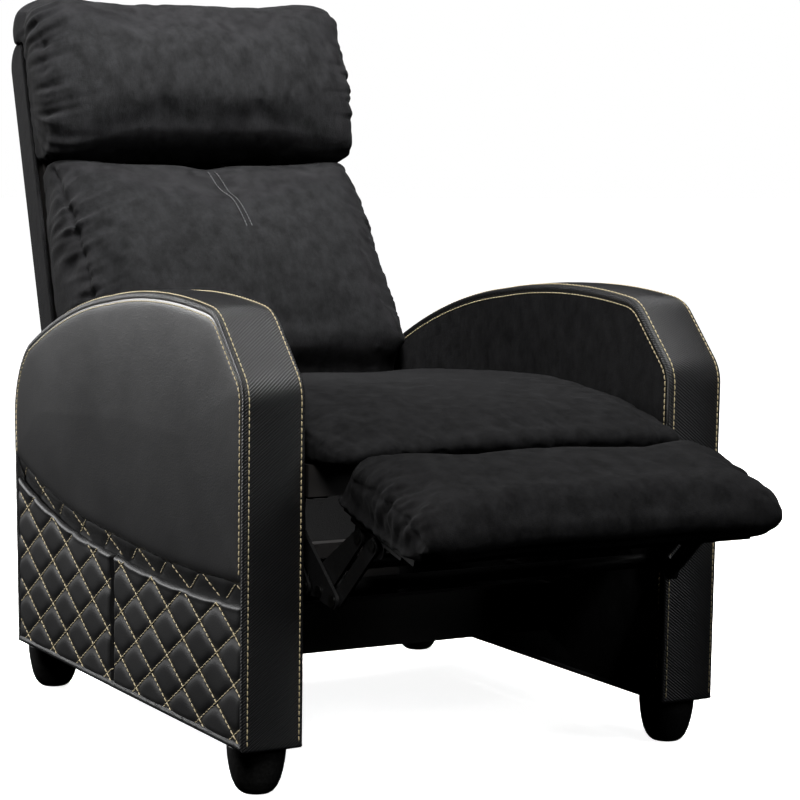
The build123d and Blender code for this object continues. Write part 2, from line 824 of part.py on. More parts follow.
for name, low in (("bottom", back_rail_low), ("top", post_high - back_rail_high)):
    with BuildPart() as back_rail:
        with BuildSketch(back_plane(1, -post_x, 2 * post_x)):
            with Locations((low, -post_rear)):
                Rectangle(back_rail_high, post_rear - back_rail_front, align=(Align.MIN, Align.MIN))
        extrude(amount=2 * post_x)
    save(back_rail, f"back_{name}_rail")

back_wire_ends = (back_rail_low + back_rail_high / 2, post_high - back_rail_high / 2)
with BuildPart() as back_springs:
    for number in range(back_wire_count):
        x = (number - (back_wire_count - 1) / 2) * 2 * post_x / back_wire_count
        wire_depth = -back_rail_front + wire_radius
        base = back_plane(1, x, 0)
        flat = Plane(origin=base.from_local_coords((0, wire_depth, 0)), x_dir=base.x_dir, z_dir=base.y_dir)
        with BuildLine(flat) as wire:
            FilletPolyline(*wire_path(*back_wire_ends, spring_bends), radius=spring_bend_radius / 2)
        with BuildSketch(Plane(origin=wire.line @ 0, z_dir=wire.line % 0)):
            Circle(wire_radius)
        sweep(path=wire.line)
save(back_springs, "back_springs")

# The shell is a shallow tray, open to the front and at its foot
with BuildPart() as back_shell:
    with BuildSketch(back_plane(1, -shell_half, 2 * shell_half)) as shell_side:
        with Locations((back_low, -shell_rear)):
            Rectangle(shell_top - back_low, shell_rear - shell_front, align=(Align.MIN, Align.MIN))
        top_rear = shell_side.vertices().group_by(Axis.X)[-1].sort_by(Axis.Y)[0]
        fillet(top_rear, shell_corner)
    extrude(amount=2 * shell_half)
    with BuildSketch(back_plane(1, -shell_half + shell_skin, 2 * (shell_half - shell_skin))) as shell_inside:
        with Locations((back_low, -shell_rear + shell_skin)):
            inside = shell_top - back_low - shell_skin
            Rectangle(inside, shell_rear - shell_front - shell_skin, align=(Align.MIN, Align.MIN))
        top_rear = shell_inside.vertices().group_by(Axis.X)[-1].sort_by(Axis.Y)[0]
        fillet(top_rear, shell_corner - shell_skin)
    extrude(amount=2 * (shell_half - shell_skin), mode=Mode.SUBTRACT)
save(back_shell, "back_shell")


def back_section(crown, edge):
    """side section of the back cushion, along and out from the hinge"""
    bulge = (0, back_crown * crown - edge_round * edge)
    low_bulge = (0, -edge_round * edge)
    with BuildSketch() as face:
        with BuildLine():
            low = (back_low + edge_round * edge, -post_front)
            high = (back_cushion_top - edge_round / 2 * edge, -post_front)
            crease = moved(back_crease, (-edge_round / 2 * edge, 0))
            brow = moved(back_brow, bulge, (-edge_round / 2 * edge, 0))
            middle = moved(back_middle, bulge)
            lumbar = moved(back_lumbar, low_bulge)
            chin = moved(back_chin, (edge_round * edge, 0), low_bulge)
            Line(low, high)
            Line(high, crease)
            brow_bow = moved(back_brow_bow, (0, bulge[1] / 2), (-edge_round / 2 * edge, 0))
            ThreePointArc(crease, brow_bow, brow)
            ThreePointArc(brow, moved(back_upper_bow, bulge), middle)
            ThreePointArc(middle, moved(back_lower_bow, (0, bulge[1] / 2)), lumbar)
            ThreePointArc(lumbar, moved(back_chin_bow, low_bulge, (edge_round / 2 * edge, 0)), chin)
            sole = (low[0], back_sole - edge_round * edge)
            Line(chin, sole)
            Line(sole, low)
        make_face()
    return face.sketch


with BuildPart() as back_cushion:
    for x, crown, edge in stations(cushion_half):
        with BuildSketch(back_plane(1, x, 0)):
            add(back_section(crown, edge))
    loft()
save(back_cushion, "back_cushion")


def headrest_section(crown, edge):
    """side section of the headrest pillow, along and out from the hinge"""
    bulge = (0, headrest_crown * crown - edge_round * edge)
    down = (-edge_round / 2 * edge, 0)
    with BuildSketch() as face:
        with BuildLine():
            low = (headrest_low + edge_round / 2 * edge, -post_front)
            chin = moved(headrest_chin, (edge_round / 2 * edge, 0))
            cheek = moved(headrest_cheek, bulge, (edge_round / 2 * edge, 0))
            brow = moved(headrest_brow, bulge, down)
            top = moved(headrest_top, down, down)
            nape = moved(headrest_nape, (0, edge_round / 2 * edge))
            sill = shell_top + pillow_gap
            chin_bow = moved(headrest_chin_bow, (0, bulge[1] / 2), (edge_round / 2 * edge, 0))
            Line(low, chin)
            ThreePointArc(chin, chin_bow, cheek)
            ThreePointArc(cheek, moved(headrest_bow, bulge), brow)
            ThreePointArc(brow, moved(headrest_top_bow, (0, bulge[1] / 2), down), top)
            ThreePointArc(top, moved(headrest_nape_bow, down, down), nape)
            Line(nape, (sill, nape[1]))
            Line((sill, nape[1]), (sill, -post_front))
            Line((sill, -post_front), low)
        make_face()
    return face.sketch


with BuildPart() as headrest:
    for x, crown, edge in stations(headrest_half):
        with BuildSketch(back_plane(1, x, 0)):
            add(headrest_section(crown, edge))
    loft()
save(headrest, "headrest")
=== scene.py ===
import json
import math

import bmesh
import bpy
import numpy as np
from mathutils import Matrix, Vector
from mathutils.bvhtree import BVHTree


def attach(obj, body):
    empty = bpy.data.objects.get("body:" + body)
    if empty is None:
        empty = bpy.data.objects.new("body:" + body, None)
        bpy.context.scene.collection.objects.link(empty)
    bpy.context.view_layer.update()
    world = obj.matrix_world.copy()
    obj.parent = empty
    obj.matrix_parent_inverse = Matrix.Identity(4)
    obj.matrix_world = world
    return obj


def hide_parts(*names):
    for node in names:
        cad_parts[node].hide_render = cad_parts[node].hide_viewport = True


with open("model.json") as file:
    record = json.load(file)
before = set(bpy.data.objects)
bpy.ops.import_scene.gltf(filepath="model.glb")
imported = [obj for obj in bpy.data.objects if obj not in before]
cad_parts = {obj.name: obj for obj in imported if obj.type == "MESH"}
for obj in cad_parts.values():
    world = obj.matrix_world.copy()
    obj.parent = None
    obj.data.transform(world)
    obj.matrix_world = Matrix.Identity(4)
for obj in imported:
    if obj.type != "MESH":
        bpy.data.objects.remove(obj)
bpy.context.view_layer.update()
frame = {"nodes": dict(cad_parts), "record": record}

nodes = frame["nodes"]
frameMiddle = 0.360539  # depth of the row frame's middle behind the fronts of the arms
sides = ((1, "left"), (-1, "right"))  # as the person in the chair has them
print("frame loaded:", len(nodes), "nodes")


# an object of the scene that holds this data
def addObject(name, data):
    made = bpy.data.objects.new(name, data)
    bpy.context.scene.collection.objects.link(made)
    return made


# a principled material, its node tree and its shader
def newMaterial(name, colour, roughness, **sockets):
    material = bpy.data.materials.new(name)
    material.use_nodes = True
    shader = material.node_tree.nodes["Principled BSDF"]
    shader.inputs["Base Color"].default_value = (*colour, 1)
    shader.inputs["Roughness"].default_value = roughness
    for socket, value in sockets.items():
        label = socket.replace("_", " ")
        shader.inputs[label].default_value = (*value, 1) if isinstance(value, tuple) else value
    return material, material.node_tree, shader


# camera, lights, floor

cameraView = {
    "place": (-1.56034, -2.85198, 0.76296),
    "azimuth": -28.69,
    "elevation": 7.38,
    "roll": 0.70,
    "focal": 2432.68,  # in pixels of the 800 pixel frame
    "centre": (352.8, 463.5),
    "frame": 800,
}


# a camera turned by azimuth and elevation, then rolled, with its centre shifted by shares of the frame
def addCamera(s):
    a, e, r = (math.radians(s[k]) for k in ("azimuth", "elevation", "roll"))
    back = Vector((math.sin(a) * math.cos(e), -math.cos(a) * math.cos(e), math.sin(e)))
    right = (-back).cross(Vector((0, 0, 1))).normalized()
    up = right.cross(-back)
    rolledRight = math.cos(r) * right + math.sin(r) * up
    rolledUp = -math.sin(r) * right + math.cos(r) * up
    data = bpy.data.cameras.new("photoCamera")
    data.sensor_width = 36
    data.lens = s["focal"] / s["frame"] * data.sensor_width
    data.shift_x = 0.5 - s["centre"][0] / s["frame"]
    data.shift_y = s["centre"][1] / s["frame"] - 0.5
    data.clip_start, data.clip_end = 0.05, 60
    camera = addObject("photoCamera", data)
    turned = Matrix((rolledRight, rolledUp, back)).transposed().to_4x4()
    camera.matrix_world = Matrix.Translation(s["place"]) @ turned
    bpy.context.scene.camera = camera


addCamera(cameraView)

studio = {
    "background": (1.0, 1.0, 1.0),
    # name, place, aimed at, size, watts, spread in degrees, colour
    "lights": (
        ("keyLight", (-1.6, -2.2, 3.1), (0, 0, 0.5), 1.3, 120, 180, (1.0, 0.99, 0.97)),
        ("topLight", (0.7, -0.1, 2.8), (0, 0.0, 0.5), 1.5, 68, 180, (1.0, 1.0, 1.0)),
        ("headLight", (-0.25, -0.28, 2.2), (-0.04, 0.40, 0.95), 0.6, 9.0, 50, (1.0, 1.0, 1.0)),
        ("leftLight", (-2.15, 2.8, 1.75), (-0.3, 0, 0.5), 1.7, 160, 180, (1.0, 1.0, 1.0)),
        ("rightLight", (1.9, -3.0, 1.9), (0, 0, 0.4), 1.4, 25, 180, (0.97, 0.98, 1.0)),
    ),
}


# the white background is seen by the camera alone, and only the soft boxes light the chair
def addStudio(s):
    world = bpy.data.worlds.new("studioWorld")
    bpy.context.scene.world = world
    world.use_nodes = True
    background = world.node_tree.nodes["Background"]
    background.inputs["Color"].default_value = (*s["background"], 1)
    for rays in ("diffuse", "glossy", "transmission"):
        setattr(world.cycles_visibility, rays, False)
    for name, place, aim, size, watts, beam, colour in s["lights"]:
        data = bpy.data.lights.new(name, "AREA")
        data.shape = "DISK"
        data.size = size
        data.energy = watts
        data.spread = math.radians(beam)
        data.color = colour
        light = addObject(name, data)
        light.location = place
        light.rotation_euler = (Vector(aim) - Vector(place)).to_track_quat("-Z", "Y").to_euler()
    bpy.context.scene.view_settings.view_transform = "Standard"


addStudio(studio)

floorShape = {"side": 60.0, "colour": (0.9, 0.9, 0.9), "glow": 0.93, "sun": 0.5, "sunAngle": 50}


# a plain white floor that throws no light back, with a soft light of its own for the chair's shadow
def makeFloor(s):
    half = s["side"] / 2
    mesh = bpy.data.meshes.new("floor")
    corners = [(-half, -half, 0), (half, -half, 0), (half, half, 0), (-half, half, 0)]
    mesh.from_pydata(corners, [], [(0, 1, 2, 3)])
    floor = addObject("floor", mesh)
    material, _, _ = newMaterial("paleFloor", s["colour"], 0.9, Specular_IOR_Level=0.0,
                                 Emission_Color=(1, 1, 1), Emission_Strength=s["glow"])
    mesh.materials.append(material)
    floor.visible_diffuse = False
    floor.visible_glossy = False
    data = bpy.data.lights.new("floorSun", "SUN")
    data.energy = s["sun"]
    data.angle = math.radians(s["sunAngle"])
    sun = addObject("floorSun", data)
    lit = bpy.data.collections.new("floorOnly")
    lit.objects.link(floor)
    sun.light_linking.receiver_collection = lit


makeFloor(floorShape)


# material helpers

# coordinates of a pattern: the piece's own place, or its UV map, stretched and turned
def patternPlace(tree, scale=(1, 1, 1), turn=(0, 0, 0), source="Object"):
    coordinates = tree.nodes.new("ShaderNodeTexCoord")
    mapping = tree.nodes.new("ShaderNodeMapping")
    mapping.inputs["Scale"].default_value = scale
    mapping.inputs["Rotation"].default_value = turn
    tree.links.new(coordinates.outputs[source], mapping.inputs["Vector"])
    return mapping.outputs["Vector"]


def addNoise(tree, place, scale, detail=4, roughness=0.55):
    noise = tree.nodes.new("ShaderNodeTexNoise")
    noise.inputs["Scale"].default_value = scale
    noise.inputs["Detail"].default_value = detail
    noise.inputs["Roughness"].default_value = roughness
    tree.links.new(place, noise.inputs["Vector"])
    return noise.outputs["Fac"]


# a value spread between two others by a pattern
def spread(tree, pattern, low, high, start=0.3, end=0.7):
    ranged = tree.nodes.new("ShaderNodeMapRange")
    for socket, value in (("From Min", start), ("From Max", end), ("To Min", low), ("To Max", high)):
        ranged.inputs[socket].default_value = value
    tree.links.new(pattern, ranged.inputs["Value"])
    return ranged.outputs["Result"]


# a colour between two others by a pattern
def tint(tree, pattern, dark, light, start=0.3, end=0.7):
    ramp = tree.nodes.new("ShaderNodeValToRGB")
    for element, place, colour in zip(ramp.color_ramp.elements, (start, end), (dark, light)):
        element.position, element.color = place, (*colour, 1)
    tree.links.new(pattern, ramp.inputs["Fac"])
    return ramp.outputs["Color"]


# bumps stacked on each other, each with its height in metres
def addBumps(tree, shader, heights):
    normal = None
    for pattern, distance in heights:
        bump = tree.nodes.new("ShaderNodeBump")
        bump.inputs["Strength"].default_value = 1.0
        bump.inputs["Distance"].default_value = distance
        tree.links.new(pattern, bump.inputs["Height"])
        if normal is not None:
            tree.links.new(normal, bump.inputs["Normal"])
        normal = bump.outputs["Normal"]
    tree.links.new(normal, shader.inputs["Normal"])


# materials

velvetLook = {"dark": (0.0042, 0.0042, 0.0045), "light": (0.0125, 0.0125, 0.0132), "cloud": 52, "pile": 900,
              "sheen": 0.018}


# short pile: a cloudy tint under a faint sheen, with fine and coarse bumps
def makeVelvet(name, s):
    material, tree, shader = newMaterial(name, s["dark"], 0.9, Sheen_Weight=s["sheen"],
                                         Sheen_Roughness=0.38, Specular_IOR_Level=0.06,
                                         Sheen_Tint=(0.62, 0.62, 0.64))
    place = patternPlace(tree)
    brushed = patternPlace(tree, scale=(1, 1, 0.7), turn=(0.3, 0.2, 0))
    cloud = addNoise(tree, brushed, s["cloud"], 9, 0.7)
    pile = addNoise(tree, place, s["pile"], 2)
    tree.links.new(tint(tree, cloud, s["dark"], s["light"], 0.36, 0.66), shader.inputs["Base Color"])
    tree.links.new(spread(tree, cloud, 0.78, 0.95), shader.inputs["Roughness"])
    addBumps(tree, shader, ((pile, 0.0006), (addNoise(tree, brushed, 55, 3), 0.0012)))
    return material


leatherLook = {"dark": (0.014, 0.014, 0.0148), "light": (0.018, 0.018, 0.0188), "grain": 520,
               "roughness": (0.37, 0.41), "specular": 0.5}


# a cell grain on slow swells, with a cloudy tint
def makeLeather(name, s):
    material, tree, shader = newMaterial(name, s["dark"], 0.4, Specular_IOR_Level=s["specular"])
    place = patternPlace(tree)
    grain = tree.nodes.new("ShaderNodeTexVoronoi")
    grain.inputs["Scale"].default_value = s["grain"]
    tree.links.new(place, grain.inputs["Vector"])
    cloud = addNoise(tree, place, 7, 5)
    tree.links.new(tint(tree, cloud, s["dark"], s["light"]), shader.inputs["Base Color"])
    tree.links.new(spread(tree, cloud, *s["roughness"]), shader.inputs["Roughness"])
    swell = addNoise(tree, place, 18, 2)
    addBumps(tree, shader, ((grain.outputs["Distance"], 0.00012), (swell, 0.0006)))
    return material


ribLook = {"pitch": 0.0031, "turn": 38, "depth": 0.00042, "dark": (0.006, 0.006, 0.0065),
           "light": (0.012, 0.012, 0.013)}


# diagonal ribs on the band's own UV map, whose units are metres, crossed by a finer weave; the tint follows
# the ribs' height, as painted shade in the troughs and painted highlight on the crests
def makeRibbedLeather(name, s):
    material, tree, shader = newMaterial(name, s["dark"], 0.36, Specular_IOR_Level=0.38)
    place = patternPlace(tree, turn=(0, 0, math.radians(s["turn"])), source="UV")
    waves = []
    for direction, pitch in (("X", s["pitch"]), ("Y", s["pitch"] * 0.5)):
        wave = tree.nodes.new("ShaderNodeTexWave")
        wave.wave_type, wave.bands_direction, wave.wave_profile = "BANDS", direction, "SIN"
        wave.inputs["Scale"].default_value = math.pi / (10 * pitch)
        tree.links.new(place, wave.inputs["Vector"])
        waves.append(wave.outputs["Fac"])
    ribs, weave = waves
    cloud = addNoise(tree, patternPlace(tree), 8, 4)
    # the ribs' dark and light colours: painted shade in the troughs, painted highlight on the crests
    colour = tint(tree, ribs, s["dark"], s["light"], 0.1, 0.9)
    tree.links.new(colour, shader.inputs["Base Color"])
    tree.links.new(spread(tree, cloud, 0.3, 0.42), shader.inputs["Roughness"])
    addBumps(tree, shader, ((ribs, s["depth"]), (weave, s["depth"] * 0.3)))
    return material


# a twisted thread: fine noise, turned aslant
def makeThread(name, dark, light):
    material, tree, shader = newMaterial(name, light, 0.5, Specular_IOR_Level=0.5)
    place = patternPlace(tree, turn=(0.5, 0.4, 0.8))
    twist = addNoise(tree, place, 1500, 2)
    tree.links.new(tint(tree, twist, dark, light), shader.inputs["Base Color"])
    addBumps(tree, shader, ((twist, 0.0002),))
    return material


# one noise for tint, roughness and bumps
def makePlain(name, dark, light, roughness, grain, depth, metallic=0.0, stretch=(1, 1, 1)):
    material, tree, shader = newMaterial(name, light, sum(roughness) / 2, Metallic=metallic)
    cloud = addNoise(tree, patternPlace(tree, scale=stretch), grain, 4)
    tree.links.new(tint(tree, cloud, dark, light), shader.inputs["Base Color"])
    tree.links.new(spread(tree, cloud, *roughness), shader.inputs["Roughness"])
    addBumps(tree, shader, ((cloud, depth),))
    return material


quiltLook = {"dark": (0.004, 0.004, 0.0044), "light": (0.007, 0.007, 0.0075), "grain": 520,
             "roughness": (0.48, 0.56), "specular": 0.28}
velvet = makeVelvet("blackVelvet", velvetLook)
smoothLeather = makeLeather("smoothBlackLeather", leatherLook)
quiltLeather = makeLeather("quiltedBlackLeather", quiltLook)
ribbedLeather = makeRibbedLeather("ribbedBlackLeather", ribLook)
goldThread = makeThread("goldThread", (0.42, 0.34, 0.19), (0.68, 0.58, 0.36))
greyThread = makeThread("greyThread", (0.03, 0.03, 0.032), (0.09, 0.09, 0.095))
# by slot: name, dark and light colour, range of roughness, grain, its depth, metallic, stretch of the grain
plainLooks = {
    "foot_plastic": ("footPlastic", (0.006, 0.006, 0.006), (0.012, 0.012, 0.012), (0.3, 0.42), 300, 0.0002),
    # the black steel is its own black, darkened further: painted shade under the seat
    "black_steel": ("blackSteel", (0.004, 0.004, 0.0043), (0.008, 0.008, 0.0085), (0.45, 0.6), 500, 0.0002,
                   0.3),
    # the zinc pins, the springs and the beech rails are coloured near black: painted shade, for the shade
    # they sit in inside the chair
    "zinc_steel": ("blackZinc", (0.03, 0.03, 0.03), (0.06, 0.06, 0.058), (0.3, 0.45), 300, 0.0001, 1.0),
    "spring_wire": ("blackSpringSteel", (0.02, 0.02, 0.02), (0.04, 0.04, 0.04), (0.3, 0.45), 400, 0.0001,
                    1.0),
    "beech_rail": ("blackBeech", (0.007, 0.006, 0.006), (0.014, 0.012, 0.011), (0.6, 0.75), 30, 0.0004, 0.0,
              (0.12, 1, 1)),
    "plywood": ("plywood", (0.4, 0.28, 0.16), (0.55, 0.42, 0.26), (0.55, 0.7), 24, 0.0004, 0.0, (1, 0.15, 1)),
    "dust_cloth": ("dustCloth", (0.003, 0.003, 0.003), (0.006, 0.006, 0.006), (0.85, 0.95), 700, 0.0004),
}
plain = {key: makePlain(*look) for key, look in plainLooks.items()}
print("materials made")


# mesh helpers

sameSpot = 0.00002  # points nearer to each other than this are merged


# quads between the neighbouring rows and columns of a grid of points
def gridQuads(rows, columns):
    r, c = np.meshgrid(np.arange(rows - 1), np.arange(columns - 1), indexing="ij")
    first = (r * columns + c).ravel()
    return np.stack([first, first + columns, first + columns + 1, first + 1], -1)


# a mesh object of a points array (rows, columns, 3), its doubles merged and its faces turned along outward
def gridPiece(name, grid, material, uv=None, outward=None, merge=sameSpot):
    rows, columns = grid.shape[:2]
    quads = gridQuads(rows, columns)
    mesh = bpy.data.meshes.new(name)
    mesh.from_pydata(grid.reshape(-1, 3), [], quads.tolist())
    if uv is not None:
        layer = mesh.uv_layers.new(name="bandMap")
        layer.data.foreach_set("uv", uv.reshape(-1, 2)[quads.ravel()].astype(np.float32).ravel())
    return finishMesh(name, mesh, material, outward, merge)


# a mesh closed along its doubles, its faces turned one way, as an object of the scene
def finishMesh(name, mesh, material, outward=None, merge=sameSpot):
    work = bmesh.new()
    work.from_mesh(mesh)
    bmesh.ops.remove_doubles(work, verts=work.verts, dist=merge)
    bmesh.ops.dissolve_degenerate(work, edges=work.edges, dist=1e-7)
    bmesh.ops.recalc_face_normals(work, faces=work.faces)
    if outward is not None:
        total = sum((f.normal * f.calc_area() for f in work.faces), Vector())
        if total.dot(Vector(outward)) < 0:
            bmesh.ops.reverse_faces(work, faces=work.faces)
    work.to_mesh(mesh)
    work.free()
    mesh.shade_smooth()
    mesh.materials.append(material)
    return addObject(name, mesh)


# vectors at a length of 1
def unit(vectors):
    return vectors / np.linalg.norm(vectors, axis=-1, keepdims=True)


# a wall inwards from a skin
def thicken(piece, thickness):
    solidify = piece.modifiers.new("wall", "SOLIDIFY")
    solidify.thickness, solidify.offset, solidify.use_rim = thickness, -1, True


# distance from each point to a curve of many points, and the index of its nearest point
def distanceTo(points, curve):
    found, index = [], []
    for part in np.array_split(points, max(1, len(points) // 3000)):
        squared = ((part[:, None] - curve[None]) ** 2).sum(-1)
        nearest = squared.argmin(1)
        index.append(nearest)
        found.append(np.sqrt(squared[np.arange(len(part)), nearest]))
    return np.concatenate(found), np.concatenate(index)


# the length along a curve up to each of its points
def lengths(curve):
    return np.r_[0, np.cumsum(np.linalg.norm(np.diff(curve, axis=0), axis=1))]


# a curve resampled so that its points stand at equal steps of its length, which its first axes give
def evenly(curve, count, axes=3):
    steps = lengths(curve[:, :axes])
    at = np.linspace(0, steps[-1], count)
    return np.stack([np.interp(at, steps, curve[:, i]) for i in range(curve.shape[1])], -1)


# 0 below 0 and 1 above 1, and three squares less two cubes of the value between
def smoothStep(value):
    value = np.clip(value, 0, 1)
    return value * value * (3 - 2 * value)


# a smooth step from a start over a reach
def stepFrom(value, place):
    return smoothStep((value - place[0]) / place[1])


# a Coons patch: each point is blended from four edge curves, given as (count, 2) arrays
def coonsPatch(bottom, top, front, rear):
    u = np.linspace(0, 1, len(bottom))[:, None, None]
    v = np.linspace(0, 1, len(front))[None, :, None]
    ruled = (1 - v) * bottom[:, None] + v * top[:, None] + (1 - u) * front[None] + u * rear[None]
    low = (1 - u) * bottom[0] + u * bottom[-1]
    high = (1 - u) * top[0] + u * top[-1]
    return ruled - (1 - v) * low - v * high


# a stitch is a small capsule: where its rings stand along half its length, and their share of its radius
stitchShape = {"stations": (-1.0, -0.72, 0.0, 0.72, 1.0), "radii": (0.3, 0.85, 1.0, 0.85, 0.3), "sides": 6,
               "dip": 0.8}


# capsules laid along a row of centres: a ring is its centre plus radius times cosine and sine of the turn
def stitchPiece(name, centres, along, normals, length, radius, material):
    stations, radii = (np.array(stitchShape[k]) for k in ("stations", "radii"))
    sidesCount = stitchShape["sides"]
    turn = np.linspace(0, 2 * np.pi, sidesCount, endpoint=False)
    along = unit(along)
    across = unit(np.cross(normals, along))
    raised = np.cross(along, across)
    spine = centres[:, None] + along[:, None] * stations[None, :, None] * length / 2
    dip = -raised[:, None] * (np.abs(stations)[None, :, None] ** 2) * radius * stitchShape["dip"]
    flatPart = across[:, None, None] * np.cos(turn)[None, None, :, None]
    ring = flatPart + raised[:, None, None] * np.sin(turn)[None, None, :, None]
    points = (spine + dip)[:, :, None] + ring * (radii * radius)[None, :, None, None]
    count, column = len(stations), np.arange(sidesCount)
    ringStart, following = np.arange(count - 1)[:, None] * sidesCount, (column + 1) % sidesCount
    here, after = ringStart + column, ringStart + following
    quads = np.stack([here, after, after + sidesCount, here + sidesCount], -1).reshape(-1, 4)
    start = np.arange(len(centres))[:, None, None] * count * sidesCount
    allQuads = (quads[None] + start).reshape(-1, 4)
    first = column[::-1][None] + start[:, :, 0]
    last = column[None] + (count - 1) * sidesCount + start[:, :, 0]
    mesh = bpy.data.meshes.new(name)
    mesh.from_pydata(points.reshape(-1, 3), [], allQuads.tolist() + first.tolist() + last.tolist())
    mesh.shade_smooth()
    mesh.materials.append(material)
    return addObject(name, mesh)


# stitches along a curve at equal steps
def stitchRow(name, curve, normals, pitch, length, radius, material):
    count = max(2, int(lengths(curve)[-1] / pitch))
    joined = evenly(np.concatenate([curve, normals], 1), count * 4 + 1)
    centres, lifted = joined[2::4, :3], joined[2::4, 3:]
    along = joined[3::4, :3][:len(centres)] - joined[1::4, :3][:len(centres)]
    return stitchPiece(name, centres, along, lifted, length, radius, material)


# arm outline

armShape = {
    # in metres, and the points below as shares of depth and height
    "depth": 0.740, "height": 0.584, "bottom": 0.060,
    "knee": (0, 0.838), "bend": (0.108, 0.981), "top": ((0.284, 1.0), (0.54, 0.978)),
    "rear": ((0.757, 0.92), (0.924, 0.837)), "heel": ((0.984, 0.747), (1.0, 0.634)), "foot": 0.985,
    "cut": 0.02,
    "seam": ((-0.03, 0.449), (0.145, 0.437), (0.316, 0.435), (0.495, 0.447), (0.668, 0.462), (0.864, 0.507),
             (1.03, 0.576)),
}


# a point of the arm: its shares times depth and height
def armPoint(pair):
    return np.array((pair[0] * armShape["depth"], pair[1] * armShape["height"]))


# the arc through three points, as its circle's centre plus radius times cosine and sine
def arcThrough(a, b, c, count=80):
    (ax, ay), (bx, by), (cx, cy) = a, b, c
    d = 2 * (ax * (by - cy) + bx * (cy - ay) + cx * (ay - by))
    ux = ((ax**2 + ay**2) * (by - cy) + (bx**2 + by**2) * (cy - ay) + (cx**2 + cy**2) * (ay - by)) / d
    uy = ((ax**2 + ay**2) * (cx - bx) + (bx**2 + by**2) * (ax - cx) + (cx**2 + cy**2) * (bx - ax)) / d
    radius = math.hypot(ax - ux, ay - uy)
    angles = np.unwrap([math.atan2(y - uy, x - ux) for x, y in (a, b, c)])
    turn = np.linspace(angles[0], angles[2], count)
    return np.stack([ux + radius * np.cos(turn), uy + radius * np.sin(turn)], -1)


# a corner rounded by a parabola between two points at the same distance from it
def roundedCorner(before, corner, after, cut, count=14):
    start, end = corner + unit(before - corner) * cut, corner + unit(after - corner) * cut
    t = np.linspace(0, 1, count)[:, None]
    return (1 - t) ** 2 * start + 2 * t * (1 - t) * corner + t**2 * end


# the arm's outline in depth and height, from the front foot up, over the top and down to the rear foot
def makeOutline(s):
    base, knee, bend = np.array((0, s["bottom"])), armPoint(s["knee"]), armPoint(s["bend"])
    topArc = arcThrough(bend, *map(armPoint, s["top"]))
    rearArc = arcThrough(topArc[-1], *map(armPoint, s["rear"]))
    heelArc = arcThrough(rearArc[-1], *map(armPoint, s["heel"]))
    foot = np.array((s["foot"] * s["depth"], s["bottom"]))
    kneeCurve = roundedCorner(base, knee, bend, s["cut"])
    bendCurve = roundedCorner(knee, bend, topArc[6], s["cut"])
    kept = topArc[np.linalg.norm(topArc - bend, axis=1) > s["cut"]]
    return np.concatenate([base[None], kneeCurve, bendCurve, kept, rearArc[1:], heelArc[1:], foot[None]])


upperOutline = evenly(makeOutline(armShape), 900)  # open at the bottom
seamArcs = [arcThrough(*map(armPoint, armShape["seam"][i:i + 3]), 120) for i in (0, 2, 4)]
seamCurve = np.concatenate([seamArcs[0]] + [arc[1:] for arc in seamArcs[1:]])


# height of the seam between the upper and the lower panel at a depth
def seamHeight(depth):
    return np.interp(depth, seamCurve[:, 0], seamCurve[:, 1])


# depth of the arm's rear edge at a height
def rearDepth(height):
    part = upperOutline[np.argmax(upperOutline[:, 0]):]
    return np.interp(height, part[::-1, 1], part[::-1, 0])


# outward normals of a curve in the plane: its tangents turned a quarter turn
def curveNormals(curve):
    tangent = unit(np.gradient(curve, axis=0))
    return np.stack([-tangent[:, 1], tangent[:, 0]], -1)


outlineNormals = curveNormals(upperOutline)


# the outline less its normals times the inset
def insetOutline(inset):
    return upperOutline - outlineNormals * inset


# depth and height, with a distance from the chair's middle, as a place in the row frame
def placed(flat, x):
    return np.stack([np.broadcast_to(x, flat.shape[:-1]), flat[..., 0] - frameMiddle, flat[..., 1]], -1)


# arm bands

bandShape = {
    "steps": 620, "half": 0.04075, "middle": 0.29925,
    # across the band and out from the outline, in millimetres
    "section": ((39.2, -9.0), (40.3, -6.2), (40.4, -4.4), (39.9, -2.6), (38.6, -1.1), (36.6, -0.2),
                (33.0, 0.35), (28.0, 0.9), (20.0, 1.7), (10.0, 2.2), (0.0, 2.4)),
    "under": -9.0, "rowInset": 0.0068, "rowLift": 0.0008,
}
goldStitch = (0.0076, 0.0064, 0.0008)  # pitch, length and radius of the stitches along bands and panels


